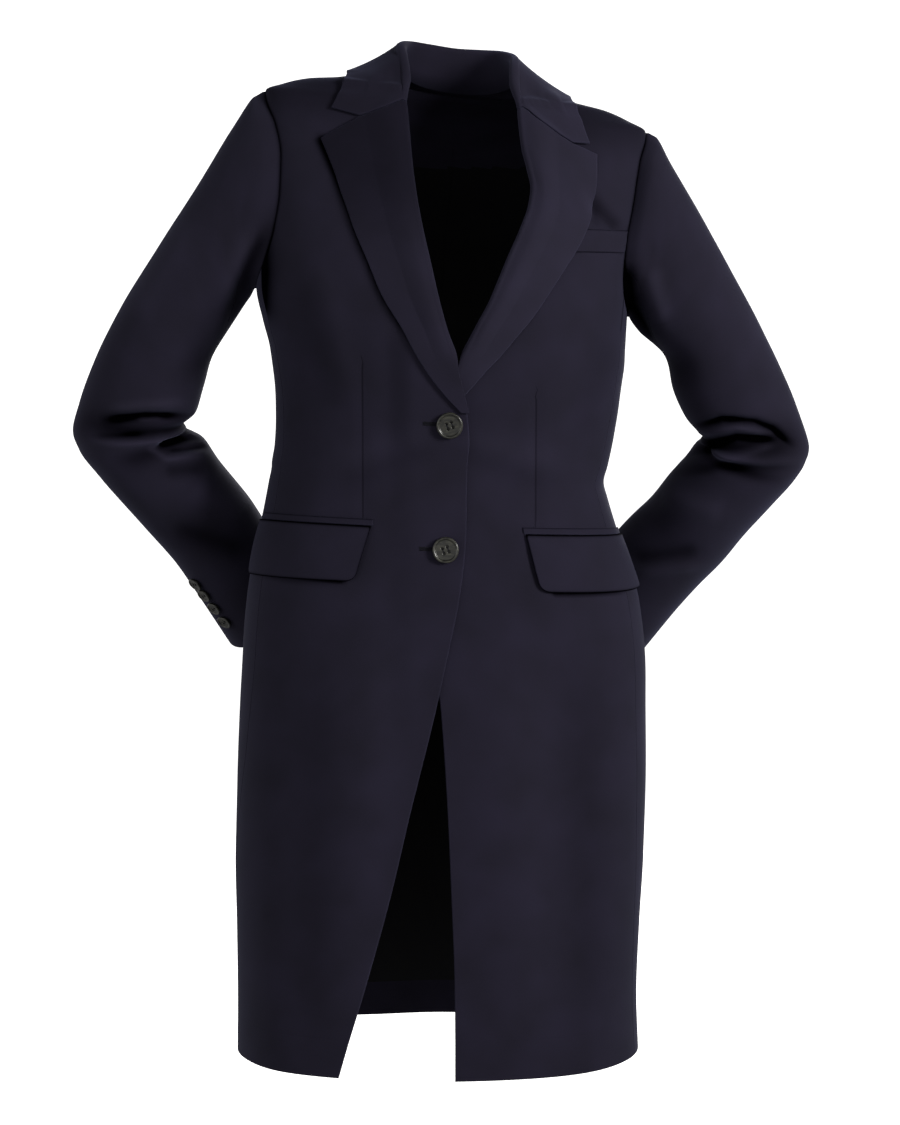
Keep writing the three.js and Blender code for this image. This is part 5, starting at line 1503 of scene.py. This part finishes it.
class OVERCOAT_OT_collar(bpy.types.Operator):
    """Turned-back lapels and the collar"""

    bl_idname = "overcoat.collar"
    bl_label = "Lapels and collar"

    def execute(self, context):
        sizes = context.scene.overcoat_finish
        cloth = [finish("wool", sizes)]
        for side in ("right", "left"):
            stations = np.arange(LAPEL_ROWS[0], LAPEL_ROWS[-1] + 1, dtype=float)
            ends = lapel_surface(side, stations)
            gaps = length_of(np.diff(ends, axis=0)).max(1)
            rows = fine_rows(gaps, 3.0, NEAR_EDGE, NEAR_EDGE) + LAPEL_ROWS[0]
            middle = lapel_surface(side, rows)
            n = grid_normals(middle)
            if n[len(rows) // 2, -8, 1] > 0:
                n = -n
            # Painted light on the left lapel, and painted shade at the right lapel's top.
            nap = 1.6 if side == "left" else -2.6 * smooth(-190, -90, middle[..., 2])
            piece = shell(
                "lapel_facing_" + side, middle + n * CLOTH / 2, CLOTH, (FOLD, FOLD, RAW, FOLD), (0, -1, 0), cloth,
                grain=-8.0 * sign_of[side], relief=nap + 0 * middle[..., 2],
            )
            place(piece, "wool_cloth", "lapel_" + side)
            as_sheet(piece, 120, 290, *CUTS["lapel_" + side])
        at = np.linspace(0, 12, 12 * 11 + 1)
        near = np.array([0.004, 0.012, 0.025, 0.045])
        at = np.unique(np.concatenate([at, near, 12 - near]))
        middle = collar_surface(at)
        n = grid_normals(middle)
        if n[len(at) // 2, -8, 1] < 0:
            n = -n
        # Painted light and shade: the collar is painted darker on the wearer's right and lighter on the left.
        piece = shell(
            "collar_cloth", middle + n * CLOTH / 2, CLOTH, (FOLD, FOLD, RAW, FOLD), n[len(at) // 2, middle.shape[1] // 2],
            cloth, relief=mix(-1.2, 1.8, smooth(-60, 60, middle[..., 0])),
        )
        place(piece, "wool_cloth", "collar")
        as_sheet(piece, 120, 480, *CUTS["collar"])
        return {"FINISHED"}


class OVERCOAT_OT_pockets(bpy.types.Operator):
    """Flaps, jets and the chest welt"""

    bl_idname = "overcoat.pockets"
    bl_label = "Pockets"

    def execute(self, context):
        cloth = [finish("wool", context.scene.overcoat_finish)]
        for side in ("right", "left"):
            u, v = np.meshgrid(fine_shares(FLAP_LENGTH, 1.8), fine_shares(53.0, 1.8), indexing="ij")
            p = flap_surface(side, u, v).transpose(1, 0, 2)
            shade = sunk(edge_distance(p, 0, False), 7.0, 1.8) + sunk(edge_distance(p, 0, True), 7.0, 1.5)
            shade = np.maximum(-6.2, shade + sunk(edge_distance(p, 1, False), 5.0, 1.1))
            piece = shell(
                "pocket_flap_" + side, p, FLAP_WALL, (RAW, FOLD, FOLD, FOLD), (0, -1, 0), cloth, relief=shade
            )
            place(piece, "wool_cloth", "flap_" + side)
            as_sheet(piece, 165, 55, *CUTS["flap_" + side], rests_on=["front_panel_" + side])
            u, v = np.meshgrid(fine_shares(FLAP_LENGTH, 2.0), fine_shares(JET_HEIGHT, 0.5), indexing="ij")
            p = jet_surface(side, u, v).transpose(1, 0, 2)
            piece = shell(
                "pocket_jet_" + side, p, JET_WALL, (FOLD, FOLD, CUT, CUT), (0, -1, 0), cloth,
                relief=sunk(edge_distance(p, 0, False), 4.5, 1.0),
            )
            place(piece, "wool_cloth", "jet_" + side)
            as_sheet(piece, 165, 12, *CUTS["jet_" + side], rests_on=["front_panel_" + side])
        u, v = np.meshgrid(fine_shares(48.0, 1.0), fine_shares(23.0, 1.0), indexing="ij")
        p = welt_surface(u, v).transpose(1, 0, 2)
        shade = sunk(edge_distance(p, 0, False), 5.5, 1.0) + sunk(edge_distance(p, 0, True), 4.0, 0.8)
        piece = shell(
            "chest_welt_cloth", p, WELT_WALL, (FOLD, CUT, CUT, CUT), (0, -1, 0), cloth, relief=shade
        )
        place(piece, "wool_cloth", "chest_welt")
        as_sheet(piece, 56, 23, *CUTS["chest_welt"], rests_on=["front_panel_left"])
        return {"FINISHED"}


class OVERCOAT_OT_buttons(bpy.types.Operator):
    """Front and cuff buttons with their threads"""

    bl_idname = "overcoat.buttons"
    bl_label = "Buttons"

    def execute(self, context):
        sizes = context.scene.overcoat_finish
        for name, (x, z) in FRONT_BUTTONS.items():
            at, normal = front_spot(x, z)
            at = at + normal * (SEAM + 0.5)
            self.button(name, BUTTON, at, normal, 0.36, 104, 40, sizes)
        for side in ("right", "left"):
            sleeve = Sleeve(side)
            turns, rows = CUFF_BUTTONS[side]
            for k in range(4):
                turn, v = mix(*turns, k / 3), mix(*rows, k / 3)
                at = sleeve.point(turn, v)
                normal = unit(
                    np.cross(
                        sleeve.point(turn, v + 0.1) - sleeve.point(turn, v - 0.1),
                        sleeve.point(turn + 3, v) - sleeve.point(turn - 3, v),
                    )
                ) * -sign_of[side]
                name = f"cuff_button_{side}_{k + 1}"
                self.button(name, CUFF_BUTTON, at + normal * (SEAM + 0.5), normal, 0.3 * k, 64, 24, sizes)
        return {"FINISHED"}

    def button(self, node, size, at, normal, spin, around, rings, sizes):
        points = set_down(button_points(**size, around=around, rings=rings), at, normal, spin)
        rows, cols = points.shape[:2]
        horn = put_mesh("horn_" + node, points.reshape(-1, 3), round_faces(rows, cols), [finish("horn", sizes)])
        place(horn, "horn_button", node)
        parts = [set_down(p, at, normal, spin) for p in button_thread(size)]
        points, faces = join_rounds(parts)
        thread = put_mesh("thread_" + node, points, faces, [finish("thread", sizes)])
        place(thread, "wool_cloth")


class OVERCOAT_OT_buttonholes(bpy.types.Operator):
    """Worked buttonholes in the right front"""

    bl_idname = "overcoat.buttonholes"
    bl_label = "Buttonholes"

    def execute(self, context):
        length = context.scene.overcoat_sewing.buttonhole / MM
        for name, (x, z) in FRONT_BUTTONS.items():
            parts = []
            for loop in buttonhole_parts(BUTTON, length):
                spot_x = x + 3.0 + loop[..., 0]
                spot_z = z + loop[..., 1]
                base = lean(
                    on_form(angle_of(spot_x, spot_z), spot_z, lap_lift(spot_x, spot_z) + CLOTH + loop[..., 2])
                )
                parts.append(base)
            points, faces = join_rounds(parts)
            piece = put_mesh("buttonhole_" + name[7:], points, faces, [finish("thread", context.scene.overcoat_finish)])
            place(piece, "wool_cloth")
        return {"FINISHED"}


class OVERCOAT_OT_stage(bpy.types.Operator):
    """Pale round floor and backdrop, soft lights and the camera"""

    bl_idname = "overcoat.stage"
    bl_label = "Stage"

    def execute(self, context):
        scene = context.scene
        # A floor that curves up into a wall all round: radius and height over t.
        radius = column([0, 1, 2, 3, 4, 5], [0.01, 4.5, 6.2, 7.0, 7.3, 7.4])
        rise = column([0, 1, 2, 3, 4, 5], [0, 0, 0.15, 0.9, 2.2, 6.0])
        t = np.linspace(0, 5, 60)[:, None]
        turn = np.linspace(0, 2 * np.pi, 96, endpoint=False)[None, :]
        p = np.stack([radius(t) * np.cos(turn), radius(t) * np.sin(turn), rise(t) + FLOOR_Z + 0 * turn], -1)
        rows, cols = p.shape[:2]
        faces = [f for f in round_faces(rows, cols)[1:-1]]
        floor = put_mesh("floor", p.reshape(-1, 3) / MM, faces, [self.paper()])
        floor.visible_shadow = floor.visible_diffuse = floor.visible_glossy = False
        world = bpy.data.worlds.new("studio")
        scene.world = world
        world.use_nodes = True
        # Soft light from all round, weak from below and from straight above.
        tree, sky = world.node_tree, world.node_tree.nodes["Background"]
        where = add(tree, "ShaderNodeTexCoord")
        height = add(tree, "ShaderNodeSeparateXYZ", {0: where.outputs["Generated"]})
        low = add(tree, "ShaderNodeMapRange", {0: height.outputs[2], 1: -0.8, 2: 0.0, 3: 0.4, 4: 1.0})
        high = add(tree, "ShaderNodeMapRange", {0: height.outputs[2], 1: 0.25, 2: 0.9, 3: 1.0, 4: 0.12})
        both = add(tree, "ShaderNodeMath", {0: low.outputs[0], 1: high.outputs[0]}, operation="MULTIPLY")
        both = add(tree, "ShaderNodeMath", {0: both.outputs[0], 1: WORLD_LIGHT}, operation="MULTIPLY")
        sky.inputs["Color"].default_value = (1.0, 0.99, 0.97, 1)
        tree.links.new(both.outputs[0], sky.inputs["Strength"])
        for name, at, aim, size, power, spread in LIGHTS:
            lamp = bpy.data.lights.new(name, "AREA")
            lamp.shape, lamp.size, lamp.energy = "DISK", size, power
            lamp.color, lamp.spread = (1.0, 0.985, 0.96), np.radians(spread)
            holder = bpy.data.objects.new(name, lamp)
            holder.location = at
            holder.rotation_euler = (Vector(aim) - Vector(at)).to_track_quat("-Z", "Y").to_euler()
            scene.collection.objects.link(holder)
        camera = bpy.data.objects.new("camera", bpy.data.cameras.new("camera"))
        camera.location = CAMERA_AT
        camera.rotation_euler = (Vector(CAMERA_AIM) - Vector(CAMERA_AT)).to_track_quat("-Z", "Y").to_euler()
        camera.data.sensor_width, camera.data.lens = 36.0, CAMERA_LENS
        scene.collection.objects.link(camera)
        scene.camera = camera
        scene.view_settings.view_transform = "Standard"
        scene.view_settings.look = "None"
        return {"FINISHED"}

    @staticmethod
    def paper():
        """Painted studio floor: matt, nearly white, with a trace of grain."""
        material, tree = new_material("studio_paper")
        where = add(tree, "ShaderNodeTexCoord")
        grain = add(tree, "ShaderNodeTexNoise", {"Vector": where.outputs["Object"], "Scale": 3.0, "Detail": 2})
        colour = add(
            tree, "ShaderNodeMix", {0: grain.outputs[0], 6: rgba(linear("#f4f3f0")), 7: rgba(linear("#fbfaf8"))},
            data_type="RGBA",
        )
        shader = add(
            tree, "ShaderNodeBsdfPrincipled",
            {
                "Base Color": colour.outputs[2], "Roughness": 0.95, "Specular IOR Level": 0.1,
                "Emission Color": (1, 1, 1, 1), "Emission Strength": 1.0,
            },
        )
        finish_material(tree, shader)
        return material


FLOOR_Z = -1.44
WORLD_LIGHT = 0.56
# name, place, aim, size in metres, watts, spread in degrees
LIGHTS = [
    ("key", (2.5, -2.1, 0.6), (0.1, 0.0, -0.2), 1.2, 13, 60),
    ("fill", (-2.6, -2.0, 0.0), (0.0, 0.0, -0.4), 2.0, 14, 180),
    ("back", (0.9, 3.4, 0.5), (0.0, 0.0, -0.4), 1.8, 75, 180),
]
CAMERA_AT = (-0.006, -3.0, -0.167)
CAMERA_AIM = (-0.006, 0.0, -0.473)
CAMERA_LENS = 98.47

# Flat area of each cut in square centimetres.
CUTS = {
    "front_right": (1827,), "front_left": (1758,), "side_right": (749,), "side_left": (691,),
    "back_right": (1821,), "back_left": (1790,), "sleeve_right_top": (1112,), "sleeve_left_top": (1134,),
    "sleeve_right_under": (536,), "sleeve_left_under": (417,), "lapel_right": (204,), "lapel_left": (187,),
    "collar": (334,), "flap_right": (78,), "flap_left": (81,), "jet_right": (9.2,), "jet_left": (9.2,),
    "chest_welt": (12.0,),
}


class OVERCOAT_PT_panel(bpy.types.Panel):
    """Lists the coat's steps and settings in the sidebar"""

    bl_idname = "OVERCOAT_PT_panel"
    bl_label = "Overcoat"
    bl_space_type = "VIEW_3D"
    bl_region_type = "UI"
    bl_category = "Overcoat"

    def draw(self, context):
        for group in (context.scene.overcoat_finish, context.scene.overcoat_sewing):
            for key in group.__annotations__:
                self.layout.prop(group, key)
        for step in STEPS:
            self.layout.operator(step.bl_idname)


STEPS = (
    OVERCOAT_OT_stage,
    OVERCOAT_OT_body,
    OVERCOAT_OT_sleeves,
    OVERCOAT_OT_collar,
    OVERCOAT_OT_pockets,
    OVERCOAT_OT_buttons,
    OVERCOAT_OT_buttonholes,
)
CLASSES = (OvercoatFinish, OvercoatSewing, *STEPS, OVERCOAT_PT_panel)


def register():
    for item in CLASSES:
        bpy.utils.register_class(item)
    bpy.types.Scene.overcoat_finish = bpy.props.PointerProperty(type=OvercoatFinish)
    bpy.types.Scene.overcoat_sewing = bpy.props.PointerProperty(type=OvercoatSewing)


def unregister():
    del bpy.types.Scene.overcoat_sewing
    del bpy.types.Scene.overcoat_finish
    for item in reversed(CLASSES):
        bpy.utils.unregister_class(item)


def main():
    register()
    bpy.ops.overcoat.stage()
    bpy.ops.overcoat.body()
    bpy.ops.overcoat.sleeves()
    bpy.ops.overcoat.collar()
    bpy.ops.overcoat.pockets()
    bpy.ops.overcoat.buttons()
    bpy.ops.overcoat.buttonholes()


if __name__ == "__main__":
    main()
